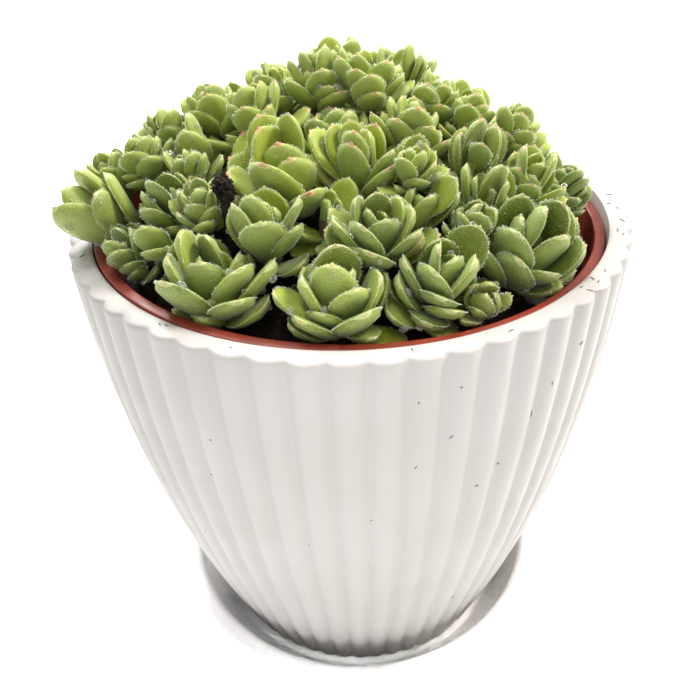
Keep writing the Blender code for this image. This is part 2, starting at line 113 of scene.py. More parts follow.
# Room for each leaf, in millimetres and degrees
CELL_SHARE = 0.8
CELL_GIVE = 5.5
LEAF_MARGIN = 0.3
LEAF_CLEARANCE = 0.8
POT_DROP = 2.0
SOIL_CLEARANCE = 2.6
MOST_LIFT = 36.0
STEEPEST = 80.0

# Stems
STEM_IN_SOIL = 5.0
STEM_RING = 54.0
STEM_SIDES = 4
STEM_SHARE = 0.14
THINNEST_STEM = 1.3
THICKEST_STEM = 1.9

# Across (mm), height of the opening above the planter's rim, reach of the leaves, lean (degrees), leaves
Head = namedtuple("Head", "x y height reach lean leaves")
HEADS = tuple(Head(*row) for row in (
    (-29.1, -44.0, 10.8, 17.8, 6, 14), (-2.6, -53.0, 10.7, 16.5, 12, 13), (19.0, -49.5, 11.1, 15.8, 22, 12),
    (40.5, -38.0, 11.8, 19.0, 24, 13), (26.8, -51.0, 3.6, 7.0, 10, 8), (-18.1, -37.0, 17.4, 15.4, 9, 9),
    (5.6, -42.0, 16.3, 14.2, 20, 9), (-40.4, -23.0, 16.2, 13.0, 14, 9), (-62.5, -21.0, 12.0, 18.5, 42, 11),
    (-15.1, -22.0, 24.7, 19.1, 17, 14), (2.9, -19.0, 23.6, 15.8, 13, 12), (-7.2, 13.0, 32.6, 13.3, 10, 9),
    (6.2, 10.0, 33.4, 13.3, 10, 9), (15.6, 18.0, 31.4, 12.3, 12, 9), (22.4, 6.0, 28.2, 11.1, 12, 9),
    (17.2, -8.0, 25.6, 13.5, 12, 9), (14.1, -26.0, 22.6, 9.2, 14, 8), (15.0, -33.5, 18.4, 13.5, 18, 9),
    (30.9, -17.0, 21.4, 14.7, 16, 9), (30.5, 0.0, 24.9, 10.5, 14, 8), (41.7, -3.0, 22.8, 10.5, 18, 8),
    (32.4, -27.0, 14.8, 13.5, 20, 9), (-37.0, -5.0, 22.7, 13.5, 14, 9), (-46.4, 5.0, 22.3, 11.1, 16, 8),
    (-50.6, -8.0, 19.9, 10.5, 18, 8), (-58.5, -7.0, 15.8, 10.5, 26, 8), (-34.6, 8.5, 26.2, 11.7, 16, 9),
    (-24.1, 0.0, 28.4, 13.3, 16, 9), (-17.8, 16.0, 30.7, 12.3, 14, 9), (-38.4, -14.0, 18.6, 9.2, 16, 8),
    (-43.0, -31.5, 12.2, 13.0, 18, 9), (-51.0, -31.0, 7.0, 11.1, 22, 8), (-32.3, -30.0, 16.6, 9.9, 14, 8),
    (43.0, -18.0, 16.0, 12.5, 20, 8), (52.5, -8.0, 9.6, 11.7, 22, 7), (49.5, 10.0, 10.4, 14.7, 18, 7),
    (32.0, 15.0, 23.0, 14.2, 14, 7), (40.5, 31.0, 8.4, 14.9, 20, 7), (27.0, 31.0, 19.0, 15.4, 16, 7),
    (21.0, 49.0, 8.0, 14.9, 21, 7), (10.5, 30.0, 27.0, 14.7, 12, 7), (0.0, 47.0, 11.5, 15.4, 20, 7),
    (-3.2, 25.0, 32.6, 14.2, 9, 7), (-20.5, 48.0, 8.0, 14.9, 21, 7), (-17.5, 31.0, 24.5, 14.7, 15, 7),
    (-32.0, 24.0, 20.5, 14.7, 15, 7), (-37.5, 38.5, 8.0, 16.1, 21, 7), (-50.0, 20.0, 10.5, 15.4, 20, 7),
    (-3.5, -2.5, 25.2, 15.4, 4, 9), (-5.0, -31.5, 17.5, 13.0, 10, 9), (26.5, -36.0, 13.0, 9.9, 18, 9),
))
SCRAP = Head(-26.0, -31.5, 18.6, 3.6, 16, 0)
SCRAP_SIZE = (2.2, 1.9, 3.9)
SCRAP_LUMPS = (0.8, 1.15)


# The rule that places the leaves, as in the solids

def planter_crest(z):
    """Radius of the crests of the planter's flutes at height z."""
    t = (z - PLANTER_FOOT) / (RIM_TOP - PLANTER_FOOT)
    straight = FOOT_CREST + (RIM_CREST - FOOT_CREST) * t
    return straight + t * (1 - t) * (WALL_BULGE + WALL_SKEW * (2 * t - 1))


def planter_inside(z):
    """Radius of the planter's plain inner wall at height z."""
    return min(MOUTH, planter_crest(z) - FLUTE_DEPTH - PLANTER_WALL)


def pot_inside(depth):
    """Inner radius of the nursery pot below its collar, at a depth under its lip."""
    t = (depth - POT_COLLAR) / (POT_HEIGHT - POT_COLLAR)
    top = POT_LIP_INSIDE - POT_STEP
    return top + (POT_FOOT - POT_WALL - top) * t


def soil_depth(radius):
    """Depth of the soil's surface under the nursery pot's lip."""
    edge = pot_inside(SOIL_EDGE) - GAP
    return SOIL_CROWN + (SOIL_EDGE - SOIL_CROWN) * (radius / edge) ** 2


def soil_height(x, y):
    """Height of the soil's surface, which leans with the nursery pot, for numbers or arrays."""
    way = math.radians(POT_TILT_TOWARDS)
    downhill = x * math.cos(way) + y * math.sin(way)
    return POT_LIP - soil_depth(np.hypot(x, y)) - downhill * math.tan(math.radians(POT_TILT))


def pot_tilt():
    """The nursery pot stands askew: it turns about the middle of its lip."""
    way = math.radians(POT_TILT_TOWARDS)
    hinge = Vector((-math.sin(way), math.cos(way), 0))
    middle = Matrix.Translation((0, 0, POT_LIP * MM))
    return middle @ Matrix.Rotation(math.radians(POT_TILT), 4, hinge) @ middle.inverted()


def rod_shape(low, high, radius, sides, top_radius=None, bm=None):
    """A cylinder or cone between two points in millimetres, in a new shape or a given one."""
    bm = bm or bmesh.new()
    reach = high - low
    turn = Vector((0, 0, 1)).rotation_difference(reach).to_matrix().to_4x4()
    bmesh.ops.create_cone(
        bm, cap_ends=True, segments=sides, radius1=radius,
        radius2=radius if top_radius is None else top_radius,
        depth=reach.length, matrix=Matrix.Translation((low + high) / 2) @ turn,
    )
    return bm


def head_axis(head):
    """Unit vector up the middle of a head: it leans away from the mound's middle."""
    away = math.atan2(head.y, head.x)
    lean = math.radians(head.lean)
    return Vector((math.sin(lean) * math.cos(away), math.sin(lean) * math.sin(away), math.cos(lean)))


def head_base(head):
    """The point that a head's leaves spring from."""
    opening = Vector((head.x, head.y, RIM_TOP + head.height))
    return opening - head_axis(head) * OPENING * head.reach


def head_middle(head):
    return head_base(head) + head_axis(head) * HEART * head.reach


def head_drop(head):
    """How far under its base a head's lowest leaves spring: less where the soil is near."""
    base = head_base(head)
    room = (base.z - soil_height(base.x, base.y) - SOIL_CLEARANCE) / head_axis(head).z
    return max(0.0, min(ROOT_DROP * head.reach, room))


def cell(head, others):
    """The normals and offsets of the walls that part a head's room from that of each head near it."""
    middle = head_middle(head)
    normals = []
    offsets = []
    for other in others:
        apart = head_middle(other) - middle
        distance = apart.length
        if other is head or distance > 2.5 * (head.reach + other.reach):
            continue
        normal = apart / distance
        share = CELL_SHARE ** 2 * (head.reach ** 2 - other.reach ** 2)
        offset = (distance ** 2 + share) / (2 * distance) + CELL_GIVE
        normals.append(normal)
        offsets.append(normal.dot(middle) + offset + FINE_GIVE)
    return np.array(normals), np.array(offsets)


def scrap_shape(size):
    """A crumbled dried scrap, in millimetres."""
    draw = random.Random(7)
    bm = bmesh.new()
    bmesh.ops.create_uvsphere(bm, u_segments=7, v_segments=5, radius=size)
    turn = Vector((0, 0, 1)).rotation_difference(head_axis(SCRAP))
    for vertex in bm.verts:
        lump = draw.uniform(*SCRAP_LUMPS)
        place = Vector([side * lump * along for side, along in zip(SCRAP_SIZE, vertex.co)])
        vertex.co = head_middle(SCRAP) + turn @ place
    bmesh.ops.triangulate(bm, faces=bm.faces)
    return bm


def stem_of(head):
    """Foot, top and radius of the stem that carries a head: near the pot's wall it leans outwards."""
    top = head_base(head) + head_axis(head) * 0.1 * head.reach
    inwards = min(1, STEM_RING / math.hypot(top.x, top.y))
    ground = Vector((top.x * inwards, top.y * inwards, 0))
    ground.z = soil_height(ground.x, ground.y)
    foot = ground + (ground - top).normalized() * STEM_IN_SOIL
    return foot, top, min(THICKEST_STEM, max(THINNEST_STEM, STEM_SHARE * head.reach))


def stem_shape(head):
    foot, top, radius = stem_of(head)
    return rod_shape(foot, top, radius, STEM_SIDES)


def core_shape(head):
    """The closed heart that a head's leaves spring from."""
    axis = head_axis(head)
    low = head_base(head) - axis * (head_drop(head) + CORE_BELOW * head.reach)
    high = head_base(head) + axis * CORE_ABOVE * head.reach
    return rod_shape(low, high, CORE_LOW_RADIUS * head.reach, CORE_SIDES, CORE_TOP_RADIUS * head.reach)


# Fine mesh helpers

def linear(red, green, blue):
    """A colour for the shader from one on a screen, 0 to 255."""
    shares = (red / 255, green / 255, blue / 255)
    return tuple(c / 12.92 if c <= 0.04045 else ((c + 0.055) / 1.055) ** 2.4 for c in shares)


def unit(vectors):
    """The rows of an array, each brought to a length of 1."""
    return vectors / np.maximum(np.linalg.norm(vectors, axis=-1, keepdims=True), 1e-9)


class Build:
    """Points, faces, material numbers and per-point values of one mesh, gathered piece by piece."""

    def __init__(self):
        self.points = []
        self.faces = {3: [], 4: []}
        self.slots = {3: [], 4: []}
        self.leaf = []
        self.mood = []
        self.count = 0

    def add(self, points, quads, triangles, slot=0, leaf=None, mood=(0, 0, 0, 0)):
        points = np.asarray(points, float).reshape(-1, 3)
        for size, faces in ((4, quads), (3, triangles)):
            faces = np.asarray(faces, int).reshape(-1, size)
            if len(faces):
                self.faces[size].append(faces + self.count)
                self.slots[size].append(np.full(len(faces), slot))
        self.points.append(points)
        self.leaf.append(np.zeros((len(points), 4)) if leaf is None else leaf)
        self.mood.append(np.tile(np.asarray(mood, float), (len(points), 1)))
        self.count += len(points)

    def mesh(self, name):
        points = np.concatenate(self.points) * MM
        loops = []
        starts = []
        slots = []
        at = 0
        for size in (4, 3):
            if self.faces[size]:
                faces = np.concatenate(self.faces[size])
                loops.append(faces.ravel())
                starts.append(at + size * np.arange(len(faces)))
                slots.append(np.concatenate(self.slots[size]))
                at += faces.size
        mesh = bpy.data.meshes.new(name)
        mesh.vertices.add(len(points))
        mesh.vertices.foreach_set("co", points.ravel())
        loops = np.concatenate(loops)
        mesh.loops.add(len(loops))
        mesh.loops.foreach_set("vertex_index", loops)
        starts = np.concatenate(starts)
        mesh.polygons.add(len(starts))
        mesh.polygons.foreach_set("loop_start", starts)
        mesh.polygons.foreach_set("material_index", np.concatenate(slots))
        mesh.update(calc_edges=True)
        for label, rows in (("leaf", self.leaf), ("mood", self.mood)):
            layer = mesh.attributes.new(label, "FLOAT_COLOR", "POINT")
            layer.data.foreach_set("color", np.concatenate(rows).ravel())
        mesh.shade_smooth()
        return mesh


def piece(name, shape, materials, replaced=None, sharp=None):
    """A visible piece, from a Build or a mesh, that rides on the one body."""
    mesh = shape.mesh(name) if isinstance(shape, Build) else shape
    for mat in materials:
        mesh.materials.append(mat)
    if sharp:
        mesh.set_sharp_from_angle(angle=math.radians(sharp))
    obj = bpy.data.objects.new(name, mesh)
    bpy.context.scene.collection.objects.link(obj)
    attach(obj, "root")
    if replaced:
        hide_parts(replaced)


def lathe(profile, columns, radius_at=None):
    """Points, quads and triangles of a turned body. Its profile is closed, or runs from axis to axis."""
    angles = np.arange(columns) / columns * 2 * math.pi
    rings = []
    points = []
    for radius, z in profile:
        if radius == 0:
            rings.append([len(points)] * columns)
            points.append((0, 0, z))
            continue
        rings.append(list(range(len(points), len(points) + columns)))
        for angle in angles:
            r = radius_at(radius, z, angle) if radius_at else radius
            points.append((r * math.cos(angle), r * math.sin(angle), z))
    quads = []
    triangles = []
    closed = profile[0][0] != 0
    for low, high in zip(rings, rings[1:] + rings[:closed]):
        for i in range(columns):
            j = (i + 1) % columns
            if low[i] == low[j]:
                triangles.append([low[i], high[j], high[i]])
            elif high[i] == high[j]:
                triangles.append([low[i], low[j], high[i]])
            else:
                quads.append([low[i], low[j], high[j], high[i]])
    return np.array(points), quads, triangles


def rounded(profile, reach, steps=4):
    """The profile with each corner between its ends rounded by a short curve."""
    result = [profile[0]]
    for before, corner, after in zip(profile, profile[1:], profile[2:]):
        a = Vector(before) - Vector(corner)
        b = Vector(after) - Vector(corner)
        start = Vector(corner) + a.normalized() * min(reach, a.length * 0.45)
        end = Vector(corner) + b.normalized() * min(reach, b.length * 0.45)
        for k in range(steps + 1):
            u = k / steps
            point = start * (1 - u) ** 2 + Vector(corner) * 2 * u * (1 - u) + end * u ** 2
            result.append((max(point.x, 0.0), point.y))
    result.append(profile[-1])
    return result


# Materials

class Skin:
    """A node material while it is made. Patterns are sockets, laid out in the object's own metres."""

    def __init__(self, name):
        self.mat = bpy.data.materials.new(name)
        self.mat.use_nodes = True
        self.nodes = self.mat.node_tree.nodes
        self.links = self.mat.node_tree.links
        self.inputs = self.nodes["Principled BSDF"].inputs

    def node(self, kind, **settings):
        made = self.nodes.new(kind)
        for key, value in settings.items():
            setattr(made, key, value)
        return made

    def fill(self, socket, value):
        """Gives a socket a constant or a pattern."""
        if isinstance(value, bpy.types.NodeSocket):
            self.links.new(value, socket)
        elif socket.type == "RGBA":
            socket.default_value = (*value, 1)
        else:
            socket.default_value = value

    def put(self, values):
        """Gives the shader's inputs, by name, their constants and patterns."""
        for label, value in values.items():
            self.fill(self.inputs[label], value)

    def texture(self, kind, values, output):
        made = self.node(kind)
        for label, value in values.items():
            made.inputs[label].default_value = value
        self.links.new(self.node("ShaderNodeTexCoord").outputs["Object"], made.inputs["Vector"])
        return made.outputs[output]

    def noise(self, scale, detail=3.0, roughness=0.5):
        values = {"Scale": scale, "Detail": detail, "Roughness": roughness}
        return self.texture("ShaderNodeTexNoise", values, "Fac")

    def channels(self, label):
        """The three values that an attribute of the mesh holds."""
        attribute = self.node("ShaderNodeAttribute", attribute_name=label)
        parts = self.node("ShaderNodeSeparateColor")
        self.links.new(attribute.outputs["Color"], parts.inputs[0])
        return parts.outputs[:3]

    def band(self, value, low, high, out_low=0.0, out_high=1.0):
        """The value mapped from low-high to another range, held at its ends."""
        mapped = self.node("ShaderNodeMapRange")
        ends = {"From Min": low, "From Max": high, "To Min": out_low, "To Max": out_high}
        for label, number in ends.items():
            mapped.inputs[label].default_value = number
        self.links.new(value, mapped.inputs["Value"])
        return mapped.outputs["Result"]

    def times(self, one, other):
        product = self.node("ShaderNodeMath", operation="MULTIPLY")
        self.fill(product.inputs[0], one)
        self.fill(product.inputs[1], other)
        return product.outputs[0]

    def blend(self, factor, under, over):
        """A colour that goes from under to over, each a colour or a pattern."""
        mix = self.node("ShaderNodeMix", data_type="RGBA")
        self.links.new(factor, mix.inputs["Factor"])
        self.fill(mix.inputs[6], under)
        self.fill(mix.inputs[7], over)
        return mix.outputs[2]

    def bump(self, height, distance, strength=1.0):
        made = self.node("ShaderNodeBump")
        made.inputs["Distance"].default_value = distance
        made.inputs["Strength"].default_value = strength
        self.links.new(height, made.inputs["Height"])
        self.links.new(made.outputs["Normal"], self.inputs["Normal"])


def white_plastic(name, colour, shade, roughness, grain):
    """Moulded white plastic: cloudy in colour, with faint scuffs and a fine grain."""
    skin = Skin(name)
    tone = skin.blend(skin.band(skin.noise(28, 4), 0.35, 0.7), colour, shade)
    scuff = skin.band(skin.noise(420, 2, 0.6), 0.70, 0.78, 0.0, 0.35)
    skin.put({
        "Base Color": skin.blend(scuff, tone, linear(176, 168, 160)),
        "Roughness": skin.band(skin.noise(90, 3), 0.3, 0.7, roughness - 0.06, roughness + 0.08),
    })
    skin.bump(skin.noise(900, 3), 0.00004, grain)
    return skin.mat


def red_plastic():
    """Thin terracotta-red plastic, a little dusty."""
    skin = Skin("nursery_pot_skin")
    tone = skin.blend(skin.band(skin.noise(60, 4), 0.35, 0.7), linear(134, 48, 31), linear(112, 39, 24))
    dust = skin.band(skin.noise(500, 3, 0.6), 0.58, 0.75, 0.0, 0.25)
    skin.put({
        "Base Color": skin.blend(dust, tone, linear(158, 92, 72)),
        "Roughness": skin.band(skin.noise(150, 3), 0.3, 0.7, 0.32, 0.5),
        "Subsurface Weight": 0.12,
        "Subsurface Radius": (1.0, 0.25, 0.15),
        "Subsurface Scale": 0.002,
    })
    skin.bump(skin.noise(700, 3), 0.00004, 0.6)
    return skin.mat


def clouded(name, pattern, ends, colours, values):
    """A material where a noise pattern, mapped from its ends, goes from one colour to another."""
    skin = Skin(name)
    cloud = skin.band(skin.noise(*pattern), *ends)
    skin.put({"Base Color": skin.blend(cloud, *colours), **values})
    return skin


def earth(name, dark, light, scale):
    """Crumbly matter, dark with lighter crumbs."""
    skin = clouded(name, (scale, 5, 0.65), (0.42, 0.72), (dark, light), {"Roughness": 0.9})
    skin.bump(skin.noise(scale * 1.6, 5, 0.7), 0.0006)
    return skin.mat


def leaf_skin():
    """Fleshy green leaf: pale back, light edge and root, pink tip, and a few leaves yellowed with age."""
    skin = Skin("leaf_skin")
    along, edge, back = skin.channels("leaf")
    tone, red, old = skin.channels("mood")
    cloud = skin.band(skin.noise(170, 4, 0.6), 0.3, 0.75)
    root = skin.band(along, 0.05, 0.5, 0.7, 0.0)
    rim = skin.band(edge, 0.90, 1.0)
    tip = skin.band(along, 0.965, 1.0)
    blotch = skin.band(skin.noise(320, 4, 0.6), 0.35, 0.65, 0.4, 1.0)
    dots = skin.texture("ShaderNodeTexVoronoi", {"Scale": 2600}, "Distance")
    green = skin.blend(tone, linear(82, 100, 6), linear(160, 173, 46))
    for share, colour in (
            (skin.times(cloud, 0.35), linear(117, 136, 40)),
            (skin.times(back, 0.55), linear(148, 164, 90)),
            (root, linear(136, 154, 64)),
            (skin.times(rim, 0.40), linear(228, 233, 178)),
            (skin.times(tip, red), linear(214, 112, 98)),
            (skin.times(blotch, old), linear(176, 160, 74)),
            (skin.band(dots, 0.10, 0.38, 0.42, 0.0), linear(212, 220, 168))):
        green = skin.blend(share, green, colour)
    skin.put({
        "Base Color": green,
        "Roughness": skin.band(skin.noise(600, 3), 0.3, 0.7, 0.45, 0.66),
        "Subsurface Weight": 0.25,
        "Subsurface Radius": (0.5, 1.0, 0.2),
        "Subsurface Scale": 0.0015,
        "Sheen Weight": 0.35,
        "Sheen Roughness": 0.4,
        "Sheen Tint": (0.85, 0.95, 0.75),
    })
    skin.bump(skin.noise(1800, 3, 0.7), 0.00016, 1.0)
    return skin.mat


def hair_skin():
    """Whitish hairs."""
    colours = (linear(224, 232, 196), linear(246, 248, 232))
    return clouded("leaf_hair", (300, 2), (0.3, 0.7), colours, {"Roughness": 0.55}).mat


def stem_skin():
    """Brownish green stems."""
    colours = (linear(70, 66, 34), linear(120, 96, 62))
    skin = clouded("stem_skin", (420, 4, 0.6), (0.35, 0.7), colours, {"Roughness": 0.75})
    skin.bump(skin.noise(900, 4), 0.0003)
    return skin.mat


def water():
    """Drops of water, mostly clear, with a little milky white painted in as their reflections."""
    colours = ((0.97, 1.0, 0.96), (1.0, 1.0, 1.0))
    # painted reflection: a tenth of each drop shows the near-white base colour instead of clear water
    values = {"Roughness": 0.02, "IOR": 1.33, "Transmission Weight": 0.9}
    return clouded("water", (40, 2), (0.3, 0.7), colours, values).mat


# Pots and soil

FLUTE_COLUMNS = 10
FLUTE_SHAPE = 2.2
FLUTE_RUN_OUT = 3.0
WALL_SKIN = 2.6
POT_COLUMNS = 144
SAUCER_RIBS = POT_COLUMNS / 4
SAUCER_RIB_HEIGHT = 0.25
SHARP_EDGE = 50
DRAIN_SIDES = 32
SOIL_CRUMBS = 900
CRUMB_SIZES = (0.35, 0.5, 0.5, 0.8, 1.2)
SCRAP_FLAKES = 260


def flute_pull(z, angle):
    """How far the planter's wall lies inside its crests."""
    turn = (math.degrees(angle) - FLUTE_TURN) * FLUTES / 360
    across = abs(2 * (turn - round(turn)))
    end = min(1.0, max(0.0, (z - PLANTER_FOOT) / FLUTE_RUN_OUT))
    return FLUTE_DEPTH * planter_crest(z) / RIM_CREST * across ** FLUTE_SHAPE * (0.25 + 0.75 * end)


def planter_radius(radius, z, angle):
    """The outer wall's points are pulled in by the flutes, and the others stay."""
    if radius < planter_crest(z) - WALL_SKIN or z < PLANTER_FOOT + 0.1:
        return radius
    return radius - flute_pull(z, angle)


def fine_planter():
    outer = [(planter_crest(z), z) for z in np.linspace(PLANTER_FOOT + 2.4, RIM_TOP - 1.0, 26)]
    foot = [(FOOT_CREST - 2.2, PLANTER_FOOT), (FOOT_CREST - 1.0, PLANTER_FOOT + 0.3)]
    foot += [(FOOT_CREST - 0.2, PLANTER_FOOT + 1.1)]
    edge = [(RIM_CREST - 0.05, RIM_TOP - 0.55), (RIM_CREST - 0.25, RIM_TOP - 0.2)]
    edge += [(RIM_CREST - 0.75, RIM_TOP)]
    mouth = [(MOUTH + 2.0, RIM_TOP), (MOUTH + MOUTH_CHAMFER, RIM_TOP), (MOUTH + 0.12, RIM_TOP - 0.12)]
    floor = PLANTER_FOOT + PLANTER_FLOOR
    inside = [(planter_inside(z), z) for z in np.linspace(RIM_TOP - MOUTH_CHAMFER, floor + 4, 12)]
    bottom = [(planter_inside(floor) - 3, floor), (DRAIN, floor), (DRAIN, PLANTER_FOOT)]
    profile = foot + outer + edge + mouth + inside + bottom
    build = Build()
    build.add(*lathe(profile, FLUTES * FLUTE_COLUMNS, planter_radius))
    skin = white_plastic("planter_skin", linear(183, 179, 176), linear(176, 172, 168), 0.5, 0.5)
    piece("planter_fine", build, [skin], "planter", sharp=SHARP_EDGE)


def fine_saucer():
    lip_middle = (SAUCER_LIP_INSIDE + SAUCER_REACH) / 2
    profile = [
        (0, SAUCER_FLOOR), (SAUCER_FLOOR_REACH - 6, SAUCER_FLOOR), (SAUCER_FLOOR_REACH, SAUCER_FLOOR),
        (SAUCER_LIP_INSIDE - 1.2, SAUCER_TOP - 4.6), (SAUCER_LIP_INSIDE, SAUCER_TOP - 1.2),
        (lip_middle - 1.0, SAUCER_TOP), (lip_middle + 1.6, SAUCER_TOP - 0.6),
        (SAUCER_REACH, SAUCER_TOP - 2.8), (SAUCER_REACH - 0.7, SAUCER_TOP - 4.8),
        (SAUCER_REACH - 3.2, SAUCER_TOP - 5.6),
        (SAUCER_FOOT + 1.6, 1.2), (SAUCER_FOOT, 0), (0, 0),
    ]
    points, quads, triangles = lathe(rounded(profile[::-1], 1.6), POT_COLUMNS)
    radius = np.hypot(points[:, 0], points[:, 1])
    angle = np.arctan2(points[:, 1], points[:, 0])
    wall = (radius > SAUCER_FLOOR_REACH + 0.5) & (radius < SAUCER_LIP_INSIDE - 1.5)
    wall &= points[:, 2] > SAUCER_FLOOR
    points[:, 2] += wall * SAUCER_RIB_HEIGHT * np.cos(angle * SAUCER_RIBS)
    build = Build()
    build.add(points, quads, triangles)
    skin = white_plastic("saucer_skin", linear(240, 240, 242), linear(234, 233, 231), 0.28, 0.3)
    piece("saucer_fine", build, [skin], "saucer", sharp=SHARP_EDGE)


def fine_nursery_pot():
    lip = POT_LIP
    out = POT_LIP_INSIDE + POT_WALL
    floor = lip - POT_HEIGHT
    profile = [
        (0, floor + POT_WALL), (POT_FOOT - POT_WALL, floor + POT_WALL),
        (POT_LIP_INSIDE - POT_STEP, lip - POT_COLLAR), (POT_LIP_INSIDE - 0.2, lip - POT_COLLAR + 1),
        (POT_LIP_INSIDE, lip), (POT_LIP_REACH, lip), (POT_LIP_REACH, lip - POT_LIP_THICK),
        (out, lip - POT_LIP_THICK), (out - 0.2, lip - POT_COLLAR), (out - POT_STEP, lip - POT_COLLAR - 1),
        (POT_FOOT, floor), (0, floor),
    ]
    build = Build()
    build.add(*lathe(rounded(profile, 0.45, 3), POT_COLUMNS))
    mesh = build.mesh("nursery_pot_fine")
    holes = bmesh.new()
    for quarter in range(4):
        way = math.radians(90 * quarter + 45)
        middle = Vector((math.cos(way), math.sin(way), 0)) * POT_DRAIN_RING + Vector((0, 0, floor))
        low = middle - Vector((0, 0, 1))
        rod_shape(low, middle + Vector((0, 0, POT_WALL + 1)), POT_DRAIN, DRAIN_SIDES, bm=holes)
    mesh = drilled(mesh, holes)
    mesh.transform(pot_tilt())
    piece("nursery_pot_fine", mesh, [red_plastic()], "nursery_pot", sharp=SHARP_EDGE)


def drilled(mesh, holes):
    """The mesh less the rods in a shape, which is in millimetres."""
    tool_mesh = bpy.data.meshes.new("drill")
    holes.to_mesh(tool_mesh)
    holes.free()
    tool_mesh.transform(Matrix.Scale(MM, 4))
    tool = bpy.data.objects.new("drill", tool_mesh)
    body = bpy.data.objects.new("drilled", mesh)
    for obj in (tool, body):
        bpy.context.scene.collection.objects.link(obj)
    boolean = body.modifiers.new("drill", "BOOLEAN")
    boolean.operation = "DIFFERENCE"
    boolean.solver = "EXACT"
    boolean.object = tool
    result = bpy.data.meshes.new_from_object(body.evaluated_get(bpy.context.evaluated_depsgraph_get()))
    for obj in (tool, body):
        bpy.data.objects.remove(obj)
    return result


def any_way(draw):
    return Vector((draw.gauss(0, 1), draw.gauss(0, 1), draw.gauss(0, 1)))


def chunk(draw, middle, size, build):
    """One irregular crumb."""
    bm = bmesh.new()
    bmesh.ops.create_icosphere(bm, subdivisions=1, radius=size)
    turn = Matrix.Rotation(draw.uniform(0, 6.28), 3, any_way(draw))
    stretch = Vector((draw.uniform(0.6, 1.5), draw.uniform(0.5, 1.0), draw.uniform(0.4, 0.8)))
    points = []
    for vertex in bm.verts:
        place = Vector([a * b * draw.uniform(0.8, 1.15) for a, b in zip(vertex.co, stretch)])
        points.append(middle + turn @ place)
    faces = [[vertex.index for vertex in face.verts] for face in bm.faces]
    bm.free()
    build.add(points, [], faces)


def fine_soil():
    draw = random.Random(41)
    edge = pot_inside(SOIL_EDGE) - GAP
    bottom = POT_LIP - POT_HEIGHT + POT_WALL + GAP
    top = [(0, POT_LIP - soil_depth(0))]
    top += [(radius, POT_LIP - soil_depth(radius)) for radius in np.linspace(1.5, edge, 40)]
    profile = top + [(POT_FOOT - POT_WALL - GAP - 0.2, bottom), (0, bottom)]
    points, quads, triangles = lathe(profile[::-1], POT_COLUMNS)
    for point in points:
        if point[2] > POT_LIP - SOIL_EDGE + 0.5:
            point[2] += draw.uniform(-0.45, 0.25)
    tilt = np.array(pot_tilt().to_3x3())
    middle = np.array((0, 0, POT_LIP))
    build = Build()
    build.add((points - middle) @ tilt.T + middle, quads, triangles)
    for k in range(SOIL_CRUMBS):
        radius = edge * draw.uniform(0.3, 0.985)
        angle = draw.uniform(0, 2 * math.pi)
        place = Vector((radius * math.cos(angle), radius * math.sin(angle), 0))
        place.z = soil_height(place.x, place.y) + 0.1
        size = draw.choice(CRUMB_SIZES)
        if radius + size < edge:
            chunk(draw, place, size, build)
    skin = earth("soil_skin", linear(16, 11, 8), linear(52, 38, 26), 260)
    piece("soil_fine", build, [skin], "soil")


def fine_scrap():
    """The dried scrap: many small flakes heaped round its middle, on its stem."""
    draw = random.Random(17)
    build = Build()
    turn = Vector((0, 0, 1)).rotation_difference(head_axis(SCRAP))
    middle = head_middle(SCRAP)
    for k in range(SCRAP_FLAKES):
        direction = any_way(draw).normalized()
        place = Vector([a * b * draw.uniform(0.4, 1.05) for a, b in zip(direction, SCRAP_SIZE)])
        chunk(draw, middle + turn @ place, draw.uniform(0.35, 0.75), build)
    stem_points, stem_faces = shape_arrays(stem_shape(SCRAP))
    build.add(stem_points, [], stem_faces)
    skin = earth("scrap_skin", linear(12, 9, 9), linear(74, 50, 40), 500)
    piece("dried_scrap_fine", build, [skin], "dried_scrap")


def shape_arrays(bm):
    """Points and triangles of a shape, which is used up."""
    bmesh.ops.triangulate(bm, faces=bm.faces)
    bm.verts.index_update()
    points = [tuple(vertex.co) for vertex in bm.verts]
    faces = [[vertex.index for vertex in face.verts] for face in bm.faces]
    bm.free()
    return points, faces


# Fine rosettes

RINGS = np.array([0.015, 0.07, 0.16, 0.28, 0.40, 0.52, 0.63, 0.73, 0.82, 0.89, 0.94, 0.975, 0.993])
SIDES = 10
SIDE_ANGLES = np.arange(SIDES) / SIDES * 2 * math.pi
TEST_RINGS = np.array([0.02, 0.15, 0.32, 0.50, 0.66, 0.80, 0.91, 0.98])
TEST_ANGLES = np.arange(6) / 6 * 2 * math.pi
ROOM_RINGS = np.array([0.3, 0.5, 0.7, 0.87, 1.0])
ROOM_ANGLES = np.arange(4) / 4 * 2 * math.pi
OUTER_RINGS = np.array([0.52, 0.64, 0.78, 0.90, 0.97])
OUTER_SHARE = 0.78

# The form of one leaf, as shares of its length or breadth, and its fringe of hairs in millimetres
SHARPNESS = 0.8
ROOT_BREADTH = 0.34
ROOT_CLOSES = 0.10
SWELL = 1.5
TIP_CURVE = 2.2
TIP_ROUND = 0.68
UPPER_THICK = 0.6
LOWER_THICK = 1.2
FINE_CUP = 0.13
POINT_LENGTH = 0.45
HAIR_LENGTH = 0.5
HAIR_RADIUS = 0.07
HAIR_ROOT = 0.08
HAIRS_PER_MM = 6.0
HIDDEN_HAIRS_PER_MM = 2.4

# The spiral of a head, whose leaves stand steeper and shorter towards its heart
VISIBLE_HEADS = 34
LAST_HIDDEN_HEAD = 48
FINE_SHARE = 3.4
FINE_SHRINKS = (1.0, 0.86, 0.72)
FINE_LIFT_STEP = 5.0
FINE_ELEVATION = 24.0
FINE_GAIN = 56.0
FINE_POWER = 0.62
FINE_PLAY = 11.0
FINE_CURL = 18.0
FINE_LENGTH_LOSS = 0.62
FINE_WIDTH_GAIN = 0.03
FINE_DROP = 0.34
FINE_GIVE = 2.5
FINE_CLEARANCE = 1.5
ROLL_PLAY = 18.0

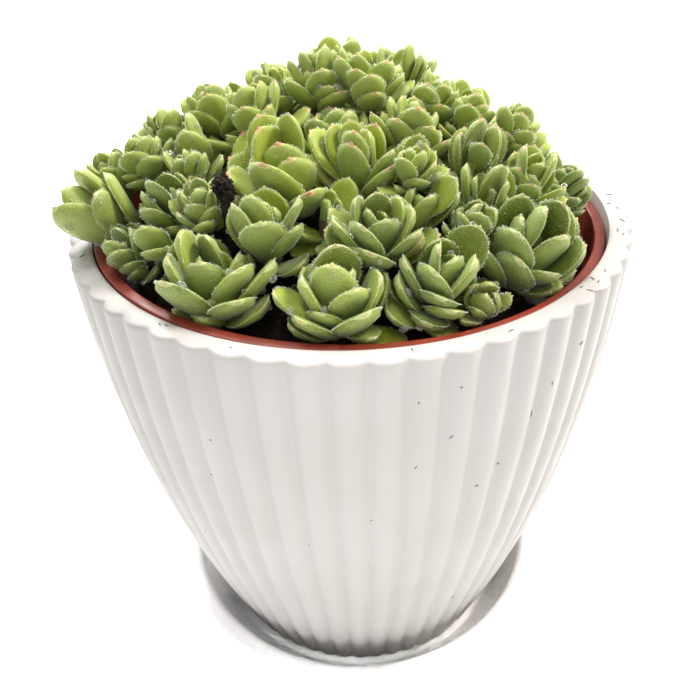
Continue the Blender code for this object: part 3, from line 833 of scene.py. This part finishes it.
# The closed, papery head
BUD = 5
BUD_ELEVATION = 25.0
BUD_GAIN = 30.0
BUD_CURL = 85.0
BUD_WIDTH = 1.4
BUD_PAPERY = 0.3

# Looser leaves that fill the room round a head, flat ones over the nursery pot's lip, and their place
# before the spiral's 0 to 1
SPARE_LEAVES = 11
FRONT_HEADS = 5
FRONT_SPARE_LEAVES = 14
SPARE_GIVE = 2.5
LOOSE = -0.2
SPARE_TURN_PLAY = 14
SPARE_LENGTHS = (0.8, 1.2)
SPARE_ELEVATIONS = (-8, 38)
SPARE_CURLS = (10, 30)
LIP_HEADS = 47.0
LIP_LEAVES = 9
LIP_SPREAD = 80.0
LIP_TURN_PLAY = 8
LIP_LENGTHS = (0.75, 0.95)
LIP_RISES = (-0.34, -0.1)
LIP_ELEVATIONS = (20, 40)
LIP_CURLS = (8, 30)
LIP_HALF_WIDTH = 0.29
SCRAP_ROOM = 1.15

# Tones of the leaves: 0 is dark and 1 is light
HEAD_TONES = (0.1, 0.66)
# painted light: a head's leaves are painted lighter the higher it stands over the planter's rim
PAINTED_TOP_LIGHT = 0.75
LEAF_TONE_PLAY = 0.3
# painted shade: a head's inner leaves are painted darker towards its heart
HEART_SHADE = 0.25
OLD_SHARE = 0.12
PLAIN_TIPS = 0.25
RED_TIPS = {10: 1.0, 11: 1.0, 12: 0.8, 13: 0.8, 14: 0.7, 15: 0.7, 16: 0.8, 17: 0.6, 19: 0.8, 20: 0.8, 21: 1.0,
            23: 0.7, 27: 0.6, 28: 0.8, 29: 0.7, 33: 0.7, 34: 0.7, 49: 0.8}

Blade = namedtuple("Blade", "root outward axis side elevation curl length width thick roll")


def fine_breadth(t):
    """How broad a leaf is from its root at 0 to its tip at 1, for an array."""
    swell = np.sin(np.pi / 2 * np.minimum(t / WIDEST, 1)) ** SWELL
    low = (ROOT_BREADTH + (1 - ROOT_BREADTH) * swell) * np.minimum(1, np.sqrt(t / ROOT_CLOSES))
    x = np.clip((t - WIDEST) / (1 - WIDEST), 0, 1)
    return np.where(t <= WIDEST, low, (1 - x ** TIP_CURVE) ** TIP_ROUND)


def spine(blade, t):
    """Places along a blade with their ahead, side and upper ways, one row for each t."""
    rise = blade.elevation + blade.curl * t
    along = blade.length * (np.sin(rise) - math.sin(blade.elevation)) / blade.curl
    up = blade.length * (math.cos(blade.elevation) - np.cos(rise)) / blade.curl
    place = blade.root + along[:, None] * blade.outward + up[:, None] * blade.axis
    ahead = np.cos(rise)[:, None] * blade.outward + np.sin(rise)[:, None] * blade.axis
    upper = np.cos(rise)[:, None] * blade.axis - np.sin(rise)[:, None] * blade.outward
    roll = (blade.roll * t)[:, None]
    side = np.cos(roll) * blade.side + np.sin(roll) * upper
    upper = np.cos(roll) * upper - np.sin(roll) * blade.side
    return place, ahead, side, upper


def blade_points(blade, ts, angles):
    """Points of a blade's skin, one row for each t and one column for each angle round its section."""
    place, ahead, side, upper = (rows[:, None, :] for rows in spine(blade, ts))
    breadth = fine_breadth(ts)[:, None]
    cosine = np.cos(angles)[None, :]
    sine = np.sin(angles)[None, :]
    across = np.sign(cosine) * np.abs(cosine) ** SHARPNESS
    depth = np.sign(sine) * np.abs(sine) ** SHARPNESS * np.where(sine > 0, UPPER_THICK, LOWER_THICK)
    thick = blade.thick * np.minimum(1, breadth * 1.6) * depth
    cup = FINE_CUP * blade.width * breadth * across ** 2
    return place + (blade.width * breadth * across)[..., None] * side + (cup + thick)[..., None] * upper


def tube_faces(rows, columns):
    """Quads between rings of points and, when the two ends follow them, the triangles that close the tube."""
    quads = []
    for k in range(rows - 1):
        for i in range(columns):
            j = (i + 1) % columns
            quads.append((k * columns + i, k * columns + j, (k + 1) * columns + j, (k + 1) * columns + i))
    root = rows * columns
    last = root - columns
    triangles = [(root, (i + 1) % columns, i) for i in range(columns)]
    triangles += [(root + 1, last + i, last + (i + 1) % columns) for i in range(columns)]
    return quads, triangles


TEST_FACES = [list(face) for kind in tube_faces(len(TEST_RINGS), len(TEST_ANGLES)) for face in kind]
OUTER_FACES = [list(face) for kind in tube_faces(len(OUTER_RINGS), len(TEST_ANGLES)) for face in kind]


def closed_points(blade, rings, angles, point=0.0, start=0.0):
    """A blade's skin with its root, and its tip drawn out by a short point."""
    rows = blade_points(blade, rings, angles).reshape(-1, 3)
    ends, ahead, side, upper = spine(blade, np.array([start, 1.0]))
    return np.vstack((rows, ends[:1], ends[1:] + point * ahead[1:]))


def room_at(points):
    """Whether all points are clear of the soil, the nursery pot and the planter's rim."""
    x, y, z = points.T
    in_collar = z > POT_LIP - POT_COLLAR + POT_DROP
    wall = np.where(in_collar, POT_LIP_INSIDE - LEAF_CLEARANCE, POT_LIP_INSIDE - POT_STEP - POT_DROP)
    clear = (z > RIM_TOP + LEAF_CLEARANCE) | (np.hypot(x, y) < wall)
    return bool(np.all(clear & (z > soil_height(x, y) + LEAF_CLEARANCE)))


def outer_points(blade):
    """The outer part of a blade, which stays clear of the other leaves of its own head."""
    slim = blade._replace(width=blade.width * OUTER_SHARE, thick=blade.thick * OUTER_SHARE)
    return closed_points(slim, OUTER_RINGS, TEST_ANGLES, start=OUTER_RINGS[0])


def found_place(blade, walls, near, own, low=False):
    """The blade, bent up or shortened until it stays in its own room and touches no other leaf."""
    normals, offsets = walls
    lifts = np.arange(0, MOST_LIFT + 1, FINE_LIFT_STEP)
    tries = [(lift, shrink) for lift in lifts for shrink in FINE_SHRINKS]
    if not low:
        tries = [(lift, shrink) for shrink in FINE_SHRINKS for lift in lifts]
    for lift, shrink in tries:
        elevation = blade.elevation + math.radians(lift)
        if elevation > math.radians(STEEPEST):
            continue
        tried = blade._replace(elevation=elevation, length=blade.length * shrink, width=blade.width * shrink)
        points = blade_points(tried, ROOM_RINGS, ROOM_ANGLES).reshape(-1, 3)
        if not room_at(points) or np.any(points @ normals.T > offsets):
            continue
        if own and own.overlap(BVHTree.FromPolygons(outer_points(tried).tolist(), OUTER_FACES)):
            continue
        bigger = tried._replace(
            root=tried.root - tried.axis * 0.2 * LEAF_MARGIN, length=tried.length + LEAF_MARGIN,
            width=tried.width + LEAF_MARGIN, thick=tried.thick + LEAF_MARGIN,
        )
        skin = closed_points(bigger, TEST_RINGS, TEST_ANGLES)
        tree = BVHTree.FromPolygons(skin.tolist(), TEST_FACES)
        if not any(tree.overlap(other) for other in near):
            return tried
    return None


def fine_drop(head):
    """How far under its base a head's lowest fine leaves spring, above the soil."""
    base = head_base(head)
    room = (base.z - soil_height(base.x, base.y) - FINE_CLEARANCE) / head_axis(head).z
    return max(0.0, min(FINE_DROP * head.reach, room))


class Crown:
    """A head's own axes, its seeded play, and the leaves that spring from it."""

    def __init__(self, head, seed):
        axis = head_axis(head)
        first = axis.orthogonal().normalized()
        self.head = head
        self.draw = random.Random(seed)
        self.base = np.array(head_base(head))
        self.axis = np.array(axis)
        self.first = np.array(first)
        self.second = np.array(axis.cross(first))
        self.start = self.draw.uniform(0, 360)
        self.drop = fine_drop(head)

    def way(self, i, play):
        """The way out of the i-th leaf of a spiral."""
        turn = math.radians(self.start + GOLDEN_ANGLE * i + self.draw.uniform(-play, play))
        return self.first * math.cos(turn) + self.second * math.sin(turn)

    def blade(self, outward, rise, elevation, curl, length, width):
        """A leaf that springs from the axis at a rise above the base, with angles in degrees."""
        root = self.base + self.axis * rise + outward * ROOT_OUT * self.head.reach
        roll = math.radians(self.draw.uniform(-ROLL_PLAY, ROLL_PLAY))
        return Blade(
            root, outward, self.axis, np.cross(self.axis, outward), math.radians(elevation),
            math.radians(curl), length, width, max(THINNEST, LEAF_THICK * length), roll,
        )


def wished_blades(head, number):
    """The leaves of a head in a spiral, from the lowest to the innermost, each with its place from 0 to 1."""
    crown = Crown(head, 1000 + number)
    draw = crown.draw
    full = round(head.leaves * FINE_SHARE)
    blades = []
    for i in range(full):
        s = i / (full - 1)
        outward = crown.way(i, TURN_PLAY)
        curl = FINE_CURL + draw.uniform(-ANGLE_PLAY, ANGLE_PLAY)
        elevation = FINE_ELEVATION + FINE_GAIN * s ** FINE_POWER + draw.uniform(-FINE_PLAY, FINE_PLAY)
        elevation += head.lean * max(0.0, -outward[2] / math.sin(math.radians(head.lean))) - curl / 2
        length = head.reach * (1 - FINE_LENGTH_LOSS * s ** 3) * draw.uniform(0.88, 1.10)
        width = (FINE_HALF_WIDTH + FINE_WIDTH_GAIN * s) * length * draw.uniform(0.92, 1.08)
        if number == BUD:
            elevation = BUD_ELEVATION + BUD_GAIN * s
            curl = BUD_CURL
            width *= BUD_WIDTH
        rise = -crown.drop + (crown.drop + ROOT_TOP * head.reach) * s
        blades.append((s, crown.blade(outward, rise, elevation, curl, length, width)))
    return blades


def spare_blades(head, number):
    """More leaves of a head, lower and looser than its spiral, that fill the room around it."""
    crown = Crown(head, 3000 + number)
    draw = crown.draw
    blades = []
    for i in range(FRONT_SPARE_LEAVES if number <= FRONT_HEADS else SPARE_LEAVES):
        outward = crown.way(i, SPARE_TURN_PLAY)
        length = head.reach * draw.uniform(*SPARE_LENGTHS)
        blades.append(crown.blade(
            outward, -crown.drop * draw.uniform(0.5, 1.0), draw.uniform(*SPARE_ELEVATIONS),
            draw.uniform(*SPARE_CURLS), length, FINE_HALF_WIDTH * length,
        ))
    return blades


def lip_blades(head, number):
    """Flat low leaves of the outermost heads in front that reach over the nursery pot's lip."""
    if math.hypot(head.x, head.y) < LIP_HEADS or number > VISIBLE_HEADS:
        return []
    crown = Crown(head, 7000 + number)
    draw = crown.draw
    away = np.array((head.x, head.y, 0.0))
    away -= crown.axis * away.dot(crown.axis)
    away /= np.linalg.norm(away)
    across = np.cross(crown.axis, away)
    blades = []
    for i in range(LIP_LEAVES):
        aside = 2 * i / (LIP_LEAVES - 1) - 1
        turn = math.radians(LIP_SPREAD * aside + draw.uniform(-LIP_TURN_PLAY, LIP_TURN_PLAY))
        outward = away * math.cos(turn) + across * math.sin(turn)
        length = head.reach * draw.uniform(*LIP_LENGTHS)
        blades.append(crown.blade(
            outward, head.reach * draw.uniform(*LIP_RISES), draw.uniform(*LIP_ELEVATIONS),
            draw.uniform(*LIP_CURLS), length, LIP_HALF_WIDTH * length,
        ))
    return blades


def all_blades():
    """Every head's leaves, the lowest of all heads first, and then the spare ones."""
    heads = HEADS + (SCRAP,)
    walls = [cell(head, heads) for head in heads]
    skins = []
    for head in heads:
        points = []
        polygons = []
        for shape in (stem_shape(head), scrap_shape(SCRAP_ROOM) if head is SCRAP else core_shape(head)):
            first = len(points)
            points += [tuple(vertex.co) for vertex in shape.verts]
            polygons += [[first + vertex.index for vertex in face.verts] for face in shape.faces]
            shape.free()
        skins.append((points, polygons))
    trees = [BVHTree.FromPolygons(points, polygons) for points, polygons in skins]
    middles = [head_middle(head) for head in heads]
    blades = [[] for head in HEADS]
    outers = [([], []) for head in HEADS]
    outer_trees = [None] * len(HEADS)

    def near(own):
        close = []
        for other, tree in enumerate(trees):
            apart = (middles[other] - middles[own]).length
            if other != own and apart < 1.4 * (heads[other].reach + heads[own].reach) + 6:
                close.append(tree)
        return close

    def keep(own, s, blade):
        blades[own].append((s, blade))
        for (points, polygons), kept, more, faces in (
                (skins[own], trees, closed_points(blade, TEST_RINGS, TEST_ANGLES), TEST_FACES),
                (outers[own], outer_trees, outer_points(blade), OUTER_FACES)):
            first = len(points)
            points += more.tolist()
            polygons += [[first + corner for corner in face] for face in faces]
            kept[own] = BVHTree.FromPolygons(points, polygons)

    wishes = []
    for number, head in enumerate(HEADS, start=1):
        wishes += [(s, number, i, blade) for i, (s, blade) in enumerate(wished_blades(head, number))]
    wishes.sort(key=lambda wish: wish[:3])
    for s, number, i, blade in wishes:
        own = number - 1
        found = found_place(blade, walls[own], near(own), outer_trees[own])
        if found:
            keep(own, s, found)
    for more, low in ((lip_blades, False), (spare_blades, True)):
        for own, head in enumerate(HEADS):
            close = near(own)
            normals, offsets = walls[own]
            wider = (normals, offsets + SPARE_GIVE)
            for blade in more(head, own + 1):
                found = found_place(blade, wider, close, outer_trees[own], low)
                if found:
                    keep(own, LOOSE, found)
    return blades


def in_view(number):
    """Whether a head shows in the photograph."""
    return number <= VISIBLE_HEADS or number > LAST_HIDDEN_HEAD


def add_leaf(build, blade, mood):
    """A leaf's skin, which knows how far along, how near the edge and how low on the leaf each point is."""
    count = len(RINGS) * SIDES
    quads, triangles = tube_faces(len(RINGS), SIDES)
    values = np.zeros((count + 2, 4))
    values[:count, 0] = np.repeat(RINGS, SIDES)
    edge = np.tile(np.abs(np.cos(SIDE_ANGLES)) ** 3, len(RINGS))
    values[:count, 1] = np.maximum(edge, values[:count, 0] > 0.97)
    values[:count, 2] = np.tile((np.sin(SIDE_ANGLES) < -0.1).astype(float), len(RINGS))
    values[count + 1] = (1, 1, 0, 0)
    values[:, 3] = 1
    build.add(closed_points(blade, RINGS, SIDE_ANGLES, POINT_LENGTH), quads, triangles, 0, values, mood)


def add_hairs(build, blade, draws, per_mm):
    """A fringe of short hairs along both edges of a leaf, each a thin closed spike."""
    count = int(2 * blade.length * 0.85 * per_mm)
    if not count:
        return
    t = 1 - 0.8 * draws.random(count) ** 1.1
    sign = np.where(draws.random(count) < 0.5, 1.0, -1.0)[:, None]
    place, ahead, side, upper = spine(blade, t)
    breadth = fine_breadth(t)
    step = 0.01
    slope = (fine_breadth(np.minimum(t + step, 1)) - fine_breadth(t - step)) / (2 * step)
    reach = (blade.width * breadth)[:, None]
    base = place + sign * reach * side + FINE_CUP * reach * upper
    way = unit(sign * side * blade.length - (blade.width * slope)[:, None] * ahead)
    way = unit(way + 0.35 * ahead + 0.45 * (draws.random((count, 1)) * 2 - 0.6) * upper
               + 0.25 * (draws.random((count, 3)) * 2 - 1))
    length = HAIR_LENGTH * (0.5 + 0.8 * draws.random((count, 1)))
    first = unit(np.cross(way, ahead))
    second = np.cross(way, first)
    base = base - HAIR_ROOT * way
    spikes = np.stack((
        base + HAIR_RADIUS * first, base - HAIR_RADIUS * (0.5 * first - 0.87 * second),
        base - HAIR_RADIUS * (0.5 * first + 0.87 * second), base + length * way,
    ), axis=1)
    faces = np.array(((0, 1, 3), (1, 2, 3), (2, 0, 3), (0, 2, 1)))
    every = (faces[None] + 4 * np.arange(count)[:, None, None]).reshape(-1, 3)
    build.add(spikes, [], every, 1)


def fine_rosettes():
    """Every head with its leaves, hairs, stem and heart. Returns its leaves, each with the head's number."""
    blades = all_blades()
    skins = [leaf_skin(), hair_skin(), stem_skin()]
    everything = []
    for number, head in enumerate(HEADS, start=1):
        draw = random.Random(5000 + number)
        draws = np.random.default_rng(5000 + number)
        red = RED_TIPS.get(number, PLAIN_TIPS)
        # a random tone for the head, plus painted light that grows with its height
        tone = draw.uniform(*HEAD_TONES) + PAINTED_TOP_LIGHT * (head.height - 10) / 23
        papery = BUD_PAPERY if number == BUD else 0.0
        build = Build()
        for s, blade in blades[number - 1]:
            old = draw.uniform(0.5, 1.0) if s < 0 and draw.random() < OLD_SHARE else papery
            # each leaf's tone, less painted shade towards the head's heart
            light = tone + draw.uniform(-LEAF_TONE_PLAY, LEAF_TONE_PLAY) - HEART_SHADE * max(0.0, s - 0.5)
            mood = (min(1.0, max(0.0, light)), red * draw.uniform(0.3, 1.0), old, 1)
            add_leaf(build, blade, mood)
            add_hairs(build, blade, draws, HAIRS_PER_MM if in_view(number) else HIDDEN_HAIRS_PER_MM)
            everything.append((number, blade))
        for shape, slot in ((stem_shape(head), 2), (core_shape(head), 0)):
            shape_points, shape_faces = shape_arrays(shape)
            build.add(shape_points, [], shape_faces, slot, None, (0.2, 0, 0, 1))
        name = f"rosette_{number:02d}"
        piece(name + "_fine", build, skins, name)
    return everything


# Drops of water and flecks

DROPS = 900
DROP_SIZES = (0.25, 0.3, 0.35, 0.4, 0.5, 0.6, 0.75, 0.95)
DROP_HEIGHT = 0.7
DROP_STANDS = 0.25


def fine_drops(everything):
    """Drops of water on the upper and lower faces of the leaves in view."""
    draw = random.Random(88)
    build = Build()
    bm = bmesh.new()
    bmesh.ops.create_uvsphere(bm, u_segments=8, v_segments=6, radius=1)
    ball, faces = shape_arrays(bm)
    ball = np.array(ball)
    chosen = [leaf for number, leaf in everything if in_view(number)]
    for k in range(DROPS):
        leaf = draw.choice(chosen)
        t = draw.uniform(0.45, 0.93)
        angle = draw.uniform(0, 2 * math.pi)
        point, ahead, across = (
            Vector(blade_points(leaf, np.array([place]), np.array([turned]))[0, 0])
            for place, turned in ((t, angle), (t + 0.02, angle), (t, angle + 0.05)))
        normal = (across - point).cross(ahead - point).normalized()
        size = draw.choice(DROP_SIZES)
        turn = np.array(Vector((0, 0, 1)).rotation_difference(normal).to_matrix())
        shape = ball * (size, size, size * DROP_HEIGHT)
        build.add(shape @ turn.T + np.array(point + normal * size * DROP_STANDS), [], faces)
    piece("water_drops", build, [water()])


FLECK_WIDTH = 0.11
FLECK_RISES = 0.10
FLECK_SINKS = 0.05

# Azimuth, share of the way across the rim or height on the wall, length in millimetres, turn
RIM_FLECKS = (
    (-5.4, 0.1, 1.2, 20), (-18.6, 0.2, 1.7, 70), (-40.5, 0.2, 1.4, 110), (-44.4, 0.15, 1.0, 40),
    (-44.3, 0.9, 2.0, 150), (-40.6, 0.7, 1.3, 60), (-80.8, 0.35, 1.2, 100), (-64.0, 0.75, 1.4, 30),
    (-109.7, 0.6, 0.6, 0), (-157.7, 0.5, 1.6, 60), (-124.6, 0.3, 0.9, 130), (-123.4, 0.2, 0.9, 140),
    (-1.2, 0.6, 1.5, 10), (-7.8, 0.7, 1.1, 80), (-14.0, 0.7, 1.6, 120), (-20.2, 0.7, 1.3, 50),
    (-36.2, 0.5, 1.4, 75),
)
WALL_FLECKS = (
    (-56.8, 116.9, 2.2, 90), (-62.5, 104.9, 0.9, 0), (-87.6, 95.2, 0.6, 0), (-73.4, 132.9, 0.6, 20),
    (-74.1, 119.9, 1.2, 40), (-80.1, 113.0, 1.0, 60), (-67.4, 101.4, 1.1, 0), (-63.1, 42.0, 1.6, 0),
    (-54.1, 124.5, 0.8, 90), (-115.8, 117.2, 0.5, 10), (-118.3, 104.3, 0.7, 10), (-80.2, 130.8, 0.7, 90),
    (-47.6, 131.0, 1.0, 30), (-100.5, 84.0, 0.6, 80), (-33.0, 96.0, 0.8, 20), (-128.0, 74.0, 0.5, 50),
)


def fine_flecks():
    """Small dark bits of peat on the planter's rim and wall."""
    draw = random.Random(23)
    build = Build()
    for azimuth, across, length, turn in RIM_FLECKS:
        radius = MOUTH + MOUTH_CHAMFER + across * (RIM_CREST - FLUTE_DEPTH - MOUTH - MOUTH_CHAMFER)
        angle = math.radians(azimuth)
        place = Vector((radius * math.cos(angle), radius * math.sin(angle), RIM_TOP + 0.06))
        way = Vector((math.cos(math.radians(turn)), math.sin(math.radians(turn)), 0))
        add_fleck(build, draw, place, way, Vector((0, 0, 1)), length)
    for azimuth, z, length, turn in WALL_FLECKS:
        angle = math.radians(azimuth)
        radius = planter_crest(z) - flute_pull(z, angle) + 0.05
        out = Vector((math.cos(angle), math.sin(angle), 0))
        along = Vector((-out.y, out.x, 0))
        way = along * math.cos(math.radians(turn)) + Vector((0, 0, 1)) * math.sin(math.radians(turn))
        add_fleck(build, draw, out * radius + Vector((0, 0, z)), way, out, length)
    skin = earth("fleck_skin", linear(36, 24, 20), linear(110, 84, 70), 900)
    piece("peat_flecks", build, [skin])


def add_fleck(build, draw, place, way, normal, length):
    """A short bent fibre that lies on a surface."""
    side = way.cross(normal)
    bend = draw.uniform(-0.25, 0.25) * length
    points = []
    for k in range(5):
        u = k / 4 - 0.5
        middle = place + way * length * u + side * bend * (1 - 4 * u * u)
        width = FLECK_WIDTH * (1.15 - 1.6 * abs(u))
        points += [middle + side * width, middle + normal * FLECK_RISES]
        points += [middle - side * width, middle - normal * FLECK_SINKS]
    quads = []
    for k in range(4):
        for i in range(4):
            j = (i + 1) % 4
            quads.append((4 * k + i, 4 * k + 4 + i, 4 * k + 4 + j, 4 * k + j))
    quads += [(0, 1, 2, 3), (19, 18, 17, 16)]
    build.add([tuple(point) for point in points], quads, [])


# Stage, light and camera

FLOOR_REACH = 6.0
FLOOR_HEIGHT = -0.0002
SUBJECT = (0, 0, 0.12)
SAUCER_FRONT = (0, -0.05, 0.005)


def stage():
    """Plain pale paper under the part, in metres."""
    mesh = bpy.data.meshes.new("floor")
    sides = ((-1, -1), (1, -1), (1, 1), (-1, 1))
    mesh.from_pydata([(x * FLOOR_REACH, y * FLOOR_REACH, FLOOR_HEIGHT) for x, y in sides], [], [(0, 1, 2, 3)])
    floor = bpy.data.objects.new("floor", mesh)
    bpy.context.scene.collection.objects.link(floor)
    skin = clouded("floor_paper", (3, 2), (0.3, 0.7), ((0.93, 0.93, 0.93), (0.9, 0.9, 0.9)), {
        "Roughness": 0.9,
        "Specular IOR Level": 0.1,
        "Emission Color": (1, 1, 1),
        "Emission Strength": 0.48,
    })
    mesh.materials.append(skin.mat)


def area_light(name, place, size, energy, colour, aim=SUBJECT, spread=180):
    """A round soft lamp, in metres, watts and degrees."""
    light = bpy.data.lights.new(name, "AREA")
    light.shape = "DISK"
    light.size = size
    light.energy = energy
    light.color = colour
    light.spread = math.radians(spread)
    obj = bpy.data.objects.new(name, light)
    obj.location = place
    obj.rotation_euler = (Vector(aim) - Vector(place)).to_track_quat("-Z", "Y").to_euler()
    bpy.context.scene.collection.objects.link(obj)


def lights():
    world = bpy.data.worlds.new("studio")
    bpy.context.scene.world = world
    world.use_nodes = True
    background = world.node_tree.nodes["Background"]
    background.inputs["Color"].default_value = (0.985, 0.99, 1.0, 1)
    background.inputs["Strength"].default_value = 0.70
    area_light("key", (0.62, 0.20, 0.72), 0.26, 9.0, (1.0, 0.93, 0.84))
    area_light("top", (-0.15, 0.25, 0.95), 0.30, 4.4, (1.0, 0.99, 0.97))
    area_light("back", (-0.20, 0.65, 0.60), 0.40, 8.0, (1.0, 0.99, 0.95))
    area_light("saucer_fill", (0, -0.26, 0.60), 0.06, 0.018, (1.0, 0.99, 0.97), SAUCER_FRONT, 14)


# Camera: focal length in pixels of the picture's side, angles in degrees, place in millimetres
CAMERA_FOCUS = 672.405
CAMERA_PITCH = 36.5066
CAMERA_ROLL = -1.81696
CAMERA_YAW = -0.31333
CAMERA_PLACE = (0.0, -163.15, 213.79)
PHOTO_SIDE = 700
SENSOR = 36.0


def camera():
    pitch, roll, yaw = (math.radians(a) for a in (CAMERA_PITCH, CAMERA_ROLL, CAMERA_YAW))
    level = Vector((0, math.cos(pitch), -math.sin(pitch)))
    up = Vector((0, math.sin(pitch), math.cos(pitch)))
    right = Vector((1, 0, 0))
    ahead = level * math.cos(yaw) + right * math.sin(yaw)
    across = right * math.cos(yaw) - level * math.sin(yaw)
    across, up = across * math.cos(roll) + up * math.sin(roll), up * math.cos(roll) - across * math.sin(roll)
    data = bpy.data.cameras.new("camera")
    data.sensor_width = SENSOR
    data.lens = CAMERA_FOCUS / PHOTO_SIDE * SENSOR
    data.clip_start = 0.01
    obj = bpy.data.objects.new("camera", data)
    turn = Matrix((across, up, -ahead)).transposed()
    obj.matrix_world = Matrix.Translation(Vector(CAMERA_PLACE) * MM) @ turn.to_4x4()
    bpy.context.scene.collection.objects.link(obj)
    bpy.context.scene.camera = obj


def main():
    fine_saucer()
    fine_planter()
    fine_nursery_pot()
    fine_soil()
    fine_scrap()
    everything = fine_rosettes()
    fine_drops(everything)
    fine_flecks()
    stage()
    lights()
    camera()
    bpy.context.scene.view_settings.view_transform = "Standard"


main()
